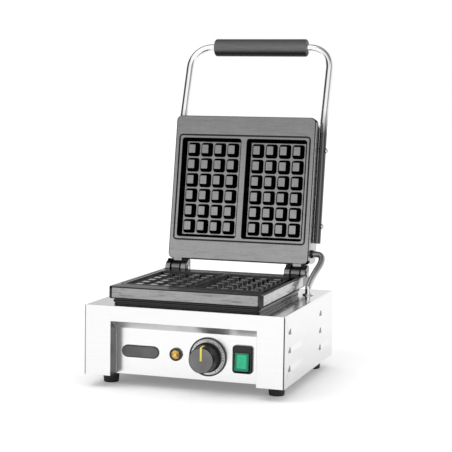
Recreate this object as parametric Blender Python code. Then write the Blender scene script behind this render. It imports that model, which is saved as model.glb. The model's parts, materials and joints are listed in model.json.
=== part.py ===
"""Single liege waffle maker with two square-celled moulds, built with its lid open.

Frame: +X right, +Y back, +Z up, in metres. The origin lies on the table, below the middle of the
bounding box. The lid's pieces hang on an empty on the hinge axis, and are modelled there as if the
lid stood upright: local +Z runs up the lid and local +Y runs back from its cooking face.
"""

import math

import bpy
import bmesh
from mathutils import Matrix, Vector

MM = 0.001

# Shared values
GAP = 0.3 * MM
OVERRUN = 2 * MM
SHEET = 1.2 * MM
ROUND_STEPS = 16
DIAL_STEPS = 32
TUBE_STEPS = 12
SMALL_STEPS = 8
CORNER_STEPS = 4
BEND_STEP = math.radians(15)
COARSE_BEND_STEP = math.radians(30)
SHARP_ANGLE = math.radians(35)

# Housing
HOUSING_SIDE_MARGIN = 32.5 * MM
HOUSING_REAR_MARGIN = 47 * MM
HOUSING_HEIGHT = 97 * MM
FOLD_RADIUS = 2.5 * MM
SEAM = 0.4 * MM

# Louvres in the side walls
LOUVRE_LENGTH = 72 * MM
LOUVRE_HEIGHT = 8.5 * MM
LOUVRE_REACH = 3 * MM
LOUVRE_TAPER = 7 * MM
LOUVRE_FRONT = 20 * MM
LOUVRE_REAR = 10 * MM
LOUVRE_LOWEST = 20.5 * MM
LOUVRE_ROW_PITCH = 25 * MM
LOUVRE_COLUMNS = 2
LOUVRE_ROWS = 3
LOUVRE_END_SHARES = ((0, 0.15), (1, 1))
LOUVRE_SHOULDER_SHARES = (0.67, 0.7)
LOUVRE_CREST_SHARE = 0.35

# Control recess in the fascia
RECESS_WIDTH = 208 * MM
RECESS_DEPTH = 22 * MM
RECESS_FRONT_HEIGHT = 76 * MM
RECESS_REAR_HEIGHT = 64 * MM
PANEL_MARGIN = 8 * MM
CONTROL_HEIGHT = 32.5 * MM
CONTROL_SPACE_SHARES = (0.16, 0.29, 0.19, 0.16)

# Feet
FOOT_HEIGHT = 17 * MM
FOOT_TOP_RADIUS = 12 * MM
FOOT_BOTTOM_RADIUS = 10.5 * MM
FOOT_EDGE = 1 * MM
FOOT_SIDE_INSET = 22 * MM
FOOT_FRONT_INSET = 44 * MM
FOOT_REAR_INSET = 28 * MM
FOOT_SOCKET_RADIUS = 5.5 * MM
FOOT_SOCKET_DEPTH = 8 * MM

# Vent slots in the bottom cover
VENT_LENGTH = 50 * MM
VENT_WIDTH = 5 * MM
VENT_PITCH = 18 * MM
VENT_ROWS = 5
VENT_COLUMNS = 2
VENT_COLUMN_PITCH = 90 * MM

# Screws
SCREW_RADIUS = 2 * MM
SCREW_HEAD_RADIUS = 4 * MM
SCREW_HEAD_HEIGHT = 2.4 * MM
SCREW_END = 6 * MM
PANEL_SCREW_INSET = 12 * MM
BOLT_RADIUS = 2.5 * MM
BOLT_HEAD_RADIUS = 4.5 * MM
BOLT_HEAD_HEIGHT = 3 * MM
BOLT_GRIP = 9 * MM

# Name plate, bare
NAME_PLATE_LENGTH = 54 * MM
NAME_PLATE_HEIGHT = 17 * MM
NAME_PLATE_THICKNESS = 1.5 * MM

# Indicator lamp
LAMP_BEZEL_RADIUS = 9 * MM
LAMP_BEZEL_REACH = 4 * MM
LAMP_LENS_RADIUS = 6 * MM
LAMP_LENS_REACH = 7.5 * MM
LAMP_BODY_RADIUS = 6.5 * MM
LAMP_BODY_LENGTH = 24 * MM
LAMP_FLANGE = 1.5 * MM
LAMP_DOME_DEGREES = (0, 30, 60, 80)
LAMP_HOLE_RADIUS = 5.2 * MM

# Thermostat, its dial ring and knob
DIAL_RADIUS = 26.5 * MM
DIAL_BORE_RADIUS = 15 * MM
DIAL_THICKNESS = 1.6 * MM
DIAL_LIP = 2 * MM
DIAL_LIP_HEIGHT = 3 * MM
KNOB_RADIUS = 20.5 * MM
KNOB_FACE_RADIUS = 17.5 * MM
KNOB_FACE_EDGE = 1.5 * MM
KNOB_WAIST_RADIUS = 18.6 * MM
KNOB_FLANGE = 5 * MM
KNOB_REACH = 31.5 * MM
KNOB_CLEARANCE = 3.6 * MM
KNOB_SOCKET_DEPTH = 14 * MM
KNOB_POINTER_WIDTH = 2.4 * MM
KNOB_POINTER_HEIGHT = 0.5 * MM
KNOB_TURN_CLEARANCE = 0.3 * MM
SPINDLE_RADIUS = 3 * MM
SPINDLE_TAIL = 8 * MM
THERMOSTAT_WIDTH = 40 * MM
THERMOSTAT_HEIGHT = 44 * MM
THERMOSTAT_DEPTH = 34 * MM
THERMOSTAT_NECK_RADIUS = 8 * MM
THERMOSTAT_NECK_LENGTH = 5 * MM
BULB_RADIUS = 2.6 * MM
BULB_MARGIN = 43 * MM
CAPILLARY_RADIUS = 1 * MM

# Rocker switch
SWITCH_WIDTH = 28 * MM
SWITCH_HEIGHT = 38 * MM
SWITCH_REACH = 4.5 * MM
SWITCH_CORNER = 3.5 * MM
SWITCH_BODY_WIDTH = 23 * MM
SWITCH_BODY_HEIGHT = 31 * MM
SWITCH_BODY_DEPTH = 24 * MM
SWITCH_WELL_WIDTH = 17.6 * MM
SWITCH_WELL_HEIGHT = 25.6 * MM
SWITCH_WELL_DEPTH = 12 * MM
SWITCH_TAB_WIDTH = 6 * MM
SWITCH_TAB_LENGTH = 8 * MM
SWITCH_TAB_THICKNESS = 0.8 * MM
SWITCH_TAB_PITCH = 11 * MM
ROCKER_CLEARANCE = 0.5 * MM
ROCKER_SIDE = 5 * MM
ROCKER_KEEL = 2.5 * MM
ROCKER_SWING = math.radians(14)
ROCKER_PIVOT_DEPTH = 5 * MM
ROCKER_PROUD = 1.6 * MM

# Waffle plates, alike above and below
PLATE_SIZE = 220 * MM
PLATE_THICKNESS = 17 * MM
PLATE_CORNER = 8 * MM
PLATE_FRONT = 3 * MM
PLATE_RISE = 26.5 * MM
PARTING_GAP = 0.6 * MM
HINGE_BACK = 13.4 * MM

# Moulds and their pegs
CELL_COLUMNS = 4
CELL_ROWS = 6
PEG_CHANNEL = 3 * MM
PEG_DRAFT = 3.8 * MM
PEG_CORNER = 3.5 * MM
PEG_DROP = 1.5 * MM
PEG_ROOT = 0.5 * MM
MOULD_SIDE_RIM = 11.6 * MM
MOULD_END_RIM = 34.2 * MM
MOULD_BAR = 8.8 * MM
MOULD_MARGIN = 5 * MM
MOULD_DEPTH = 13 * MM
MOULD_DRAFT = 4 * MM
MOULD_CORNER = 4 * MM
GROOVE_MARGIN = 4.5 * MM
GROOVE_WIDTH = 2 * MM
GROOVE_DEPTH = 1.6 * MM

# Hinge
LUG_INSET = 33 * MM
LUG_WIDTH = 9 * MM
KNUCKLE_WIDTH = 14 * MM
OUTER_LUG_WIDTH = 8 * MM
LUG_SIDE_GAP = 1 * MM
LUG_RADIUS = 9.5 * MM
LUG_CREST_DEGREES = 95
LUG_STEPS = 6
KNUCKLE_RADIUS = 8.5 * MM
STOP_REACH = 13.6 * MM
STOP_START = 3 * MM
PIN_RADIUS = 3 * MM
PIN_HEAD_RADIUS = 4.5 * MM
PIN_HEAD = 1.6 * MM
LID_LEAN = math.radians(9)

# Skirt under the lower plate
SKIRT_TOP_INSET = 3.5 * MM
SKIRT_BOTTOM_INSET = 6 * MM
SKIRT_WALL = 2 * MM

# Heating elements and their clamps
ELEMENT_RADIUS = 3.2 * MM
ELEMENT_SIDE_INSET = 40 * MM
ELEMENT_END_INSET = 32 * MM
ELEMENT_PASSES = 4
ELEMENT_TAIL = 16 * MM
ELEMENT_BEND = 8 * MM
CLAMP_INSET = 14 * MM
WINDOW_HALF_WIDTH = 6 * MM
WINDOW_HALF_LENGTH = 10 * MM
WINDOW_CORNER = 3 * MM
ELEMENT_RETURN = 28 * MM
BOLT_SIDE_INSET = 26 * MM
BOLT_END_INSET = 22 * MM

# Lid cover and insulation
LID_THICKNESS = 60 * MM
COVER_SIDE_INSET = 2.8 * MM
COVER_END_INSET = 3 * MM
COVER_CORNER = 8 * MM
INSULATION_INSET = 4 * MM

# Handle
TUBE_RADIUS = 5.5 * MM
TUBE_BORE = 4 * MM
HANDLE_DEPTH = 38.5 * MM
HANDLE_START = 34.4 * MM
HANDLE_RISE = 119 * MM
HANDLE_KINK = math.radians(10.5)
HANDLE_KINK_RADIUS = 30 * MM
HANDLE_CORNER_RADIUS = 33 * MM
HANDLE_SCREW_LOW = 60.4 * MM
HANDLE_SCREW_HIGH_INSET = 44.8 * MM
HANDLE_SCREW_END = 3 * MM
GRIP_RADIUS = 13.5 * MM
GRIP_LENGTH = 149 * MM
GRIP_EDGE = 3 * MM

# Wire conduit between deck and lid
HOSE_RADIUS = 4.8 * MM
HOSE_ROOT_RADIUS = 4.2 * MM
HOSE_BORE = 3.2 * MM
HOSE_STEPS = 8
HOSE_END_SHARES = (0, 0.5, 1)
RIB_PITCH = 2.2 * MM
HOSE_NUT_RADIUS = 7 * MM
HOSE_NUT_LENGTH = 5.2 * MM
HOSE_NUT_S = 17.3 * MM
HOSE_NUT_DEPTH = 24 * MM
HOSE_FLANGE_RADIUS = 8.5 * MM
HOSE_FLANGE_HEIGHT = 2 * MM
HOSE_BASE_SIDE = 9.5 * MM
HOSE_BASE_INSET = 13.7 * MM
HOSE_KNOTS = [
    (12.4 * MM, 27.8 * MM, 25.8 * MM),
    (16.3 * MM, 24.0 * MM, 21.7 * MM),
    (16.6 * MM, 15.6 * MM, 14.7 * MM),
    (13.8 * MM, 3.6 * MM, 6.2 * MM),
    (11.0 * MM, -7.9 * MM, -2.8 * MM),
    (9.7 * MM, -19.9 * MM, -11.3 * MM),
]

# Supply inlet and terminal block
GLAND_SIDE_INSET = 47.5 * MM
GLAND_HEIGHT = 30 * MM
GLAND_RADIUS = 9 * MM
GLAND_BORE = 4.2 * MM
GLAND_REACH = 14 * MM
GLAND_THREAD_RADIUS = 7 * MM
GLAND_NUT = 5 * MM
TERMINAL_WIDTH = 46 * MM
TERMINAL_DEPTH = 24 * MM
TERMINAL_HEIGHT = 18 * MM
TERMINAL_HOLE = 2 * MM
TERMINAL_POLES = 3

# Worked out from the sizes above
HOUSING_WIDTH = PLATE_SIZE + 2 * HOUSING_SIDE_MARGIN
HOUSING_DEPTH = PLATE_FRONT + PLATE_SIZE + HOUSING_REAR_MARGIN
FLOOR = FOOT_HEIGHT
DECK = FOOT_HEIGHT + HOUSING_HEIGHT
HALF_WIDTH = HOUSING_WIDTH / 2
INNER_HALF = HALF_WIDTH - SHEET
FASCIA_HALF = INNER_HALF - SEAM
PANEL_FRONT = RECESS_DEPTH
CONTROL_Z = FLOOR + CONTROL_HEIGHT
CONTROL_WIDTHS = (NAME_PLATE_LENGTH, 2 * LAMP_BEZEL_RADIUS, 2 * DIAL_RADIUS, SWITCH_WIDTH)
CONTROL_SPACE = RECESS_WIDTH - sum(CONTROL_WIDTHS)
CONTROL_PLACES = []
for i, width in enumerate(CONTROL_WIDTHS):
    taken = sum(CONTROL_WIDTHS[:i]) + CONTROL_SPACE * sum(CONTROL_SPACE_SHARES[:i + 1])
    CONTROL_PLACES.append(taken + (width - RECESS_WIDTH) / 2)
NAME_PLATE_X, LAMP_X, DIAL_X, SWITCH_X = CONTROL_PLACES
PLATE_TOP = DECK + PLATE_RISE
PLATE_REAR = PLATE_FRONT + PLATE_SIZE
HINGE_Y = PLATE_REAR + HINGE_BACK
HINGE_Z = PLATE_TOP + PARTING_GAP / 2
PLATE_CENTRE = HINGE_BACK + PLATE_SIZE / 2
PLATE_HALF = PLATE_SIZE / 2
MOULD_HALF_WIDTH = (PLATE_HALF - MOULD_SIDE_RIM - MOULD_BAR / 2) / 2
MOULD_HALF_LENGTH = PLATE_HALF - MOULD_END_RIM
MOULD_X = MOULD_BAR / 2 + MOULD_HALF_WIDTH
CELL_WIDTH = 2 * (MOULD_HALF_WIDTH - MOULD_MARGIN) / CELL_COLUMNS
CELL_LENGTH = 2 * (MOULD_HALF_LENGTH - MOULD_MARGIN) / CELL_ROWS
LUG_INNER_X = PLATE_HALF - LUG_INSET
ELEMENT_HALF_SPAN = PLATE_HALF - ELEMENT_SIDE_INSET
ELEMENT_HALF_LENGTH = PLATE_HALF - ELEMENT_END_INSET
BULB_LENGTH = 2 * (ELEMENT_HALF_LENGTH - BULB_MARGIN)
CLAMP_HALF = PLATE_HALF - CLAMP_INSET
BOLT_X = PLATE_HALF - BOLT_SIDE_INSET
BOLT_S = PLATE_HALF - BOLT_END_INSET
COVER_HALF = PLATE_HALF - COVER_SIDE_INSET
HANDLE_HALF_SPACING = COVER_HALF + GAP + TUBE_RADIUS
HANDLE_SCREW_HIGH = PLATE_SIZE - HANDLE_SCREW_HIGH_INSET
HOSE_BASE_X = PLATE_HALF + HOSE_BASE_SIDE
HOSE_BASE_Y = PLATE_REAR - HOSE_BASE_INSET
GLAND_X = HOUSING_WIDTH / 2 - GLAND_SIDE_INSET
LOUVRE_COLUMN_PITCH = HOUSING_DEPTH - LOUVRE_FRONT - LOUVRE_LENGTH - LOUVRE_REAR
HANDLE_TOP = HINGE_BACK + PLATE_SIZE + HANDLE_RISE * math.cos(HANDLE_KINK)
HANDLE_TOP_DEPTH = HANDLE_DEPTH + HANDLE_RISE * math.sin(HANDLE_KINK)
GRIP_Y = HINGE_Y + HANDLE_TOP * math.sin(LID_LEAN) + HANDLE_TOP_DEPTH * math.cos(LID_LEAN)
KNOB_FRONT = PANEL_FRONT - KNOB_REACH
MIDDLE_Y = (KNOB_FRONT + GRIP_Y + GRIP_RADIUS) / 2
LUG_OUTER_X = LUG_INNER_X + LUG_WIDTH + KNUCKLE_WIDTH + 2 * LUG_SIDE_GAP
KNUCKLE_X = LUG_INNER_X + LUG_WIDTH + LUG_SIDE_GAP + KNUCKLE_WIDTH / 2
TERMINAL_Y = HOUSING_DEPTH - SHEET - GLAND_NUT - 2 * TERMINAL_DEPTH
ELEMENT_DEPTH = PLATE_THICKNESS + GAP + ELEMENT_RADIUS
CLAMP_DEPTH = ELEMENT_DEPTH + ELEMENT_RADIUS + GAP

QUARTER = 90
QUARTER_SIDES = ((1, 1), (-1, 1), (-1, -1), (1, -1))
IDENTITY = Matrix.Identity(4)
HEADINGS = {
    "down": (math.pi, 0, 0),
    "front": (math.pi / 2, 0, 0),
    "back": (-math.pi / 2, 0, 0),
    "right": (0, math.pi / 2, 0),
    "left": (0, -math.pi / 2, 0),
}
PLANES = {
    "xy": lambda u, v, w: (u, v, w),
    "xz": lambda u, v, w: (u, w, v),
    "yz": lambda u, v, w: (w, u, v),
}


# Mesh helpers

def corner_arc(centre, radius, start, end, steps=CORNER_STEPS):
    """Points of an arc about a centre, from one angle to another in degrees."""
    angles = (math.radians(start + (end - start) * i / steps) for i in range(steps + 1))
    return [(centre[0] + radius * math.cos(a), centre[1] + radius * math.sin(a)) for a in angles]


def rounded_outline(half_u, half_v, radius, centre=(0, 0), steps=CORNER_STEPS):
    """Outline of a rectangle with round corners."""
    inner_u, inner_v = half_u - radius, half_v - radius
    outline = []
    for quarter, (side_u, side_v) in enumerate(QUARTER_SIDES):
        corner = (centre[0] + side_u * inner_u, centre[1] + side_v * inner_v)
        outline += corner_arc(corner, radius, QUARTER * quarter, QUARTER * (quarter + 1), steps)
    return outline


def add_loft(bm, rings, closed_ends=True):
    """Skins a list of rings, each with as many points, and caps both ends."""
    rows = [[bm.verts.new(point) for point in ring] for ring in rings]
    count = len(rows[0])
    for lower, upper in zip(rows, rows[1:]):
        for i in range(count):
            j = (i + 1) % count
            bm.faces.new((lower[i], lower[j], upper[j], upper[i]))
    if closed_ends:
        bm.faces.new(list(reversed(rows[0])))
        bm.faces.new(rows[-1])
    else:
        for i in range(count):
            j = (i + 1) % count
            bm.faces.new((rows[-1][i], rows[-1][j], rows[0][j], rows[0][i]))


def add_prism(bm, outline, low, high, plane="xy"):
    """Extrudes an outline square to its plane, from low to high."""
    to_xyz = PLANES[plane]
    add_loft(bm, [[to_xyz(u, v, w) for u, v in outline] for w in (low, high)])


def add_box(bm, low, high):
    """Box between two corners."""
    outline = [(low[0], low[1]), (high[0], low[1]), (high[0], high[1]), (low[0], high[1])]
    add_prism(bm, outline, low[2], high[2])


def add_turned(bm, profile, steps=ROUND_STEPS, turn=IDENTITY, bored=False):
    """Turns (radius, height) points about local Z. A bored profile is a closed loop."""
    rings = []
    for radius, height in profile:
        angles = (2 * math.pi * i / steps for i in range(steps))
        ring = [Vector((radius * math.cos(a), radius * math.sin(a), height)) for a in angles]
        rings.append([turn @ point for point in ring])
    add_loft(bm, rings, closed_ends=not bored)


def add_rod(bm, radius, low, high, turn=IDENTITY, steps=SMALL_STEPS):
    """Plain round rod along local Z."""
    add_turned(bm, [(radius, low), (radius, high)], steps, turn)


def facing(direction, centre):
    """Matrix that takes local Z to a direction and the origin to a centre."""
    turn = Vector((0, 0, 1)).rotation_difference(Vector(direction)).to_matrix().to_4x4()
    return Matrix.Translation(centre) @ turn


def screw_profile(radius, head_radius, head_height, length):
    """Pan-head screw: its head on +Z from the seat at zero, its shank down -Z."""
    dome = head_height / 2
    head = [(head_radius, 0), (head_radius, dome), (head_radius - dome, head_height)]
    return [(radius, -length), (radius, 0)] + head


def filleted(corners, radii, step=BEND_STEP):
    """Path through corners, each but the first and last rounded to its radius."""
    points = [Vector(corners[0])]
    for before, corner, after, radius in zip(corners, corners[1:], corners[2:], radii):
        corner = Vector(corner)
        back = (Vector(before) - corner).normalized()
        ahead = (Vector(after) - corner).normalized()
        half = back.angle(ahead) / 2
        centre = corner + (back + ahead).normalized() * (radius / math.sin(half))
        start = corner + back * (radius / math.tan(half)) - centre
        axis = start.cross(corner - centre).normalized()
        sweep = math.pi - 2 * half
        steps = max(1, round(sweep / step))
        for i in range(steps + 1):
            points.append(centre + Matrix.Rotation(sweep * i / steps, 3, axis) @ start)
    points.append(Vector(corners[-1]))
    return points


def smooth_route(knots, spacing):
    """Points at an even spacing along a smooth curve through the knots."""
    knots = [Vector(knot) for knot in knots]
    padded = [2 * knots[0] - knots[1]] + knots + [2 * knots[-1] - knots[-2]]
    fine = []
    for p0, p1, p2, p3 in zip(padded, padded[1:], padded[2:], padded[3:]):
        for i in range(ROUND_STEPS):
            t = i / ROUND_STEPS
            bend = 2 * p0 - 5 * p1 + 4 * p2 - p3
            twist = 3 * p1 - p0 - 3 * p2 + p3
            fine.append((2 * p1 + (p2 - p0) * t + bend * t ** 2 + twist * t ** 3) / 2)
    fine.append(knots[-1])
    travelled = [0.0]
    for a, b in zip(fine, fine[1:]):
        travelled.append(travelled[-1] + (b - a).length)
    count = max(2, round(travelled[-1] / spacing))
    points, segment = [], 0
    for i in range(count + 1):
        target = travelled[-1] * i / count
        while segment < len(fine) - 2 and travelled[segment + 1] < target:
            segment += 1
        span = travelled[segment + 1] - travelled[segment]
        points.append(fine[segment].lerp(fine[segment + 1], (target - travelled[segment]) / span))
    return points


def sweep_frames(points, first_side):
    """Side and top directions at each point of a path, carried along without twist."""
    frames = []
    side = Vector(first_side)
    for i, point in enumerate(points):
        before = points[max(i - 1, 0)]
        after = points[min(i + 1, len(points) - 1)]
        ahead = (after - before).normalized()
        side = (side - ahead * side.dot(ahead)).normalized()
        frames.append((side, ahead.cross(side)))
    return frames


def sweep_rings(points, radii, steps, first_side):
    """Rings of a round tube along a path, one radius to a point."""
    rings = []
    for point, radius, (side, top) in zip(points, radii, sweep_frames(points, first_side)):
        ring = []
        for i in range(steps):
            angle = 2 * math.pi * i / steps
            ring.append(point + side * (radius * math.cos(angle)) + top * (radius * math.sin(angle)))
        rings.append(ring)
    return rings


def add_tube(bm, points, radii, steps=TUBE_STEPS, bore=None, first_side=(1, 0, 0)):
    """Round tube along a path, with a bore open at both ends if one is given."""
    rings = sweep_rings(points, radii, steps, first_side)
    if bore:
        rings += reversed(sweep_rings(points, [bore] * len(points), steps, first_side))
    add_loft(bm, rings, closed_ends=not bore)


# Object helpers

def clear_scene():
    for obj in list(bpy.data.objects):
        bpy.data.objects.remove(obj, do_unlink=True)


def make_material(name, colour, roughness, metallic=0.0):
    material = bpy.data.materials.new(name)
    material.use_nodes = True
    shader = material.node_tree.nodes["Principled BSDF"]
    shader.inputs["Base Color"].default_value = (*colour, 1.0)
    shader.inputs["Roughness"].default_value = roughness
    shader.inputs["Metallic"].default_value = metallic
    material.diffuse_color = (*colour, 1.0)
    return material


def make_empty(name, location, rotation=(0, 0, 0), parent=None):
    empty = bpy.data.objects.new(name, None)
    bpy.context.scene.collection.objects.link(empty)
    empty.location = location
    empty.rotation_euler = rotation
    empty.parent = parent
    return empty


def make_mesh(name, build):
    bm = bmesh.new()
    build(bm)
    bmesh.ops.recalc_face_normals(bm, faces=bm.faces)
    mesh = bpy.data.meshes.new(name)
    bm.to_mesh(mesh)
    bm.free()
    return mesh


def make_part(name, build, material, parent, location=(0, 0, 0), rotation=(0, 0, 0)):
    """One sub-part: its mesh from a build function, its material and its place."""
    mesh = build if isinstance(build, bpy.types.Mesh) else make_mesh(name, build)
    if not mesh.materials:
        mesh.materials.append(material)
        mesh.shade_smooth()
        mesh.set_sharp_from_angle(angle=SHARP_ANGLE)
    obj = bpy.data.objects.new(name, mesh)
    bpy.context.scene.collection.objects.link(obj)
    obj.location = location
    obj.rotation_euler = rotation
    obj.parent = parent
    return obj


def make_set(name, build, material, parent, places):
    """Numbered copies of one fastener, each at a place with its head facing a heading."""
    mesh = make_mesh(name, build)
    for number, (location, heading) in enumerate(places, 1):
        make_part(f"{name}_{number}", mesh, material, parent, location, HEADINGS[heading])


def combine(obj, name, build, operation="DIFFERENCE"):
    """Adds a Boolean to a sub-part, with its cutter or boss in the sub-part's own frame."""
    tool = bpy.data.objects.new(f"{name}_of_{obj.name}", make_mesh(name, build))
    bpy.context.scene.collection.objects.link(tool)
    tool.parent = obj
    tool.hide_render = True
    tool.display_type = "WIRE"
    modifier = obj.modifiers.new(name, "BOOLEAN")
    modifier.operation = operation
    modifier.object = tool


# Housing

def louvre_places():
    """Low front corner of every louvre, as (side, y, z)."""
    for side in (-1, 1):
        for column in range(LOUVRE_COLUMNS):
            for row in range(LOUVRE_ROWS):
                y = LOUVRE_FRONT + column * LOUVRE_COLUMN_PITCH
                yield side, y, FLOOR + LOUVRE_LOWEST + row * LOUVRE_ROW_PITCH


def add_louvre(bm, side, y, z, reach, inner, shrink):
    """Scoop that swells out downwards and tapers in at both ends."""
    low = z - (OVERRUN if shrink else 0)
    front, rear = y + shrink, y + LOUVRE_LENGTH - shrink
    stations = [(front + run * LOUVRE_TAPER, swell) for run, swell in LOUVRE_END_SHARES]
    stations += [(rear - run * LOUVRE_TAPER, swell) for run, swell in reversed(LOUVRE_END_SHARES)]
    out_share, up_share = LOUVRE_SHOULDER_SHARES
    rings = []
    for station, swell in stations:
        out = HALF_WIDTH + reach * swell
        top = z + (LOUVRE_HEIGHT - shrink) * (LOUVRE_CREST_SHARE + (1 - LOUVRE_CREST_SHARE) * swell)
        shoulder = (inner + (out - inner) * out_share, z + (top - z) * up_share)
        profile = [(inner, low), (out, low), shoulder, (inner, top)]
        rings.append([(side * across, station, up) for across, up in profile])
    add_loft(bm, rings)


def build_housing_shell(bm):
    outer = [(-HALF_WIDTH, FLOOR)]
    outer += corner_arc((-HALF_WIDTH + FOLD_RADIUS, DECK - FOLD_RADIUS), FOLD_RADIUS, 180, 90)
    outer += corner_arc((HALF_WIDTH - FOLD_RADIUS, DECK - FOLD_RADIUS), FOLD_RADIUS, 90, 0)
    outer += [(HALF_WIDTH, FLOOR)]
    inner_radius = FOLD_RADIUS - SHEET
    inner = [(INNER_HALF, FLOOR)]
    inner += corner_arc((HALF_WIDTH - FOLD_RADIUS, DECK - FOLD_RADIUS), inner_radius, 0, 90)
    inner += corner_arc((-HALF_WIDTH + FOLD_RADIUS, DECK - FOLD_RADIUS), inner_radius, 90, 180)
    inner += [(-INNER_HALF, FLOOR)]
    add_prism(bm, outer + inner, 0, HOUSING_DEPTH, "xz")


def build_louvre_hoods(bm):
    for side, y, z in louvre_places():
        add_louvre(bm, side, y, z, LOUVRE_REACH, HALF_WIDTH - SHEET / 2, 0)


def build_louvre_slots(bm):
    for side, y, z in louvre_places():
        add_louvre(bm, side, y, z, LOUVRE_REACH - SHEET, INNER_HALF - OVERRUN, SHEET)


def build_deck_cuts(bm):
    notch_y = SHEET + SEAM
    add_box(bm, (-INNER_HALF, -OVERRUN, FLOOR - OVERRUN), (INNER_HALF, notch_y, DECK + OVERRUN))
    hose_base = Matrix.Translation((HOSE_BASE_X, HOSE_BASE_Y, 0))
    add_rod(bm, HOSE_BORE, DECK - SHEET - OVERRUN, DECK + OVERRUN, hose_base)
    for x, y in bolt_places():
        place = Matrix.Translation((x, y, 0))
        add_rod(bm, BOLT_RADIUS + GAP, DECK - SHEET - OVERRUN, DECK + OVERRUN, place)
    for x, s in lead_places():
        add_window(bm, (x, HINGE_Y - s), DECK - SHEET, DECK)


def bolt_places():
    """Plate bolts in the base, as (x, y)."""
    centre_y = HINGE_Y - PLATE_CENTRE
    return [(x, centre_y + s) for x in (-BOLT_X, BOLT_X) for s in (-BOLT_S, BOLT_S)]


def lead_places():
    """Windows for an element's tails, then the bulb's tube: x and distance from the hinge axis."""
    tail = PLATE_CENTRE - ELEMENT_HALF_LENGTH
    bulb_tube = PLATE_CENTRE + ELEMENT_HALF_LENGTH
    return [(-ELEMENT_HALF_SPAN, tail), (ELEMENT_HALF_SPAN, tail), (0, bulb_tube)]


def add_window(bm, centre, low, high, plane="xy"):
    """Cutter for one of those windows through a sheet."""
    outline = rounded_outline(WINDOW_HALF_WIDTH, WINDOW_HALF_LENGTH, WINDOW_CORNER, centre, 2)
    add_prism(bm, outline, low - OVERRUN, high + OVERRUN, plane)


def make_housing(parent, steel):
    shell = make_part("housing_shell", build_housing_shell, steel, parent)
    combine(shell, "louvre_hoods", build_louvre_hoods, "UNION")
    combine(shell, "louvre_slots", build_louvre_slots)
    combine(shell, "deck_cuts", build_deck_cuts)


def recess_profile(offset, overrun):
    """Side view of the recess, grown by an offset above and run past both faces."""
    slope = (RECESS_FRONT_HEIGHT - RECESS_REAR_HEIGHT) / RECESS_DEPTH
    front, rear = -overrun, RECESS_DEPTH - GAP + overrun
    front_top = FLOOR + RECESS_FRONT_HEIGHT + offset + slope * overrun
    rear_top = FLOOR + RECESS_REAR_HEIGHT + offset - slope * overrun
    return [(front, FLOOR - overrun), (rear, FLOOR - overrun), (rear, rear_top), (front, front_top)]


def build_fascia(bm):
    add_box(bm, (-FASCIA_HALF, 0, FLOOR), (FASCIA_HALF, SHEET, DECK))


def build_fascia_returns(bm):
    half = RECESS_WIDTH / 2 + SHEET
    add_prism(bm, recess_profile(SHEET, 0), -half, half, "yz")


def build_fascia_opening(bm):
    half = RECESS_WIDTH / 2
    add_prism(bm, recess_profile(0, OVERRUN), -half, half, "yz")


def make_fascia(parent, steel):
    fascia = make_part("front_fascia", build_fascia, steel, parent)
    combine(fascia, "returns", build_fascia_returns, "UNION")
    combine(fascia, "opening", build_fascia_opening)


def control_axis(x):
    """Frame of a control on the panel: local Z comes out towards the user."""
    return facing((0, -1, 0), (x, PANEL_FRONT, CONTROL_Z))


def build_panel(bm):
    half = RECESS_WIDTH / 2 + SHEET + PANEL_MARGIN
    top = FLOOR + RECESS_REAR_HEIGHT + SHEET + PANEL_MARGIN
    add_box(bm, (-half, PANEL_FRONT, FLOOR), (half, PANEL_FRONT + SHEET, top))


def build_panel_holes(bm):
    reach = SHEET + OVERRUN
    add_rod(bm, LAMP_HOLE_RADIUS, -reach, OVERRUN, control_axis(LAMP_X), ROUND_STEPS)
    add_rod(bm, THERMOSTAT_NECK_RADIUS + GAP, -reach, OVERRUN, control_axis(DIAL_X), ROUND_STEPS)
    half_x = SWITCH_BODY_WIDTH / 2 + GAP
    half_z = SWITCH_BODY_HEIGHT / 2 + GAP
    low = (SWITCH_X - half_x, PANEL_FRONT - OVERRUN, CONTROL_Z - half_z)
    high = (SWITCH_X + half_x, PANEL_FRONT + reach, CONTROL_Z + half_z)
    add_box(bm, low, high)


def make_control_panel(parent, steel):
    panel = make_part("control_panel", build_panel, steel, parent)
    combine(panel, "holes", build_panel_holes)


def rear_screw_places():
    """Rear panel screws, as (x, z)."""
    x = FASCIA_HALF - PANEL_SCREW_INSET
    heights = (FLOOR + PANEL_SCREW_INSET, DECK - SHEET - PANEL_SCREW_INSET)
    return [(side * x, z) for side in (-1, 1) for z in heights]


def gland_axis():
    """Frame of the cable gland: local Z comes out of the rear panel."""
    return facing((0, 1, 0), (GLAND_X, HOUSING_DEPTH, FLOOR + GLAND_HEIGHT))


def build_rear_panel(bm):
    low = (-FASCIA_HALF, HOUSING_DEPTH - SHEET, FLOOR)
    add_box(bm, low, (FASCIA_HALF, HOUSING_DEPTH, DECK - SHEET - GAP))


def build_rear_panel_holes(bm):
    reach = SHEET + OVERRUN
    add_rod(bm, GLAND_THREAD_RADIUS + GAP, -reach, OVERRUN, gland_axis(), ROUND_STEPS)
    for x, z in rear_screw_places():
        add_rod(bm, SCREW_RADIUS + GAP, -reach, OVERRUN, facing((0, 1, 0), (x, HOUSING_DEPTH, z)))


def build_panel_screw(bm):
    add_turned(bm, screw_profile(SCREW_RADIUS, SCREW_HEAD_RADIUS, SCREW_HEAD_HEIGHT, SCREW_END), SMALL_STEPS)


def make_rear(parent, steel, zinc):
    panel = make_part("rear_panel", build_rear_panel, steel, parent)
    combine(panel, "holes", build_rear_panel_holes)
    places = [((x, HOUSING_DEPTH + GAP, z), "back") for x, z in rear_screw_places()]
    make_set("rear_panel_screw", build_panel_screw, zinc, parent, places)


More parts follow.
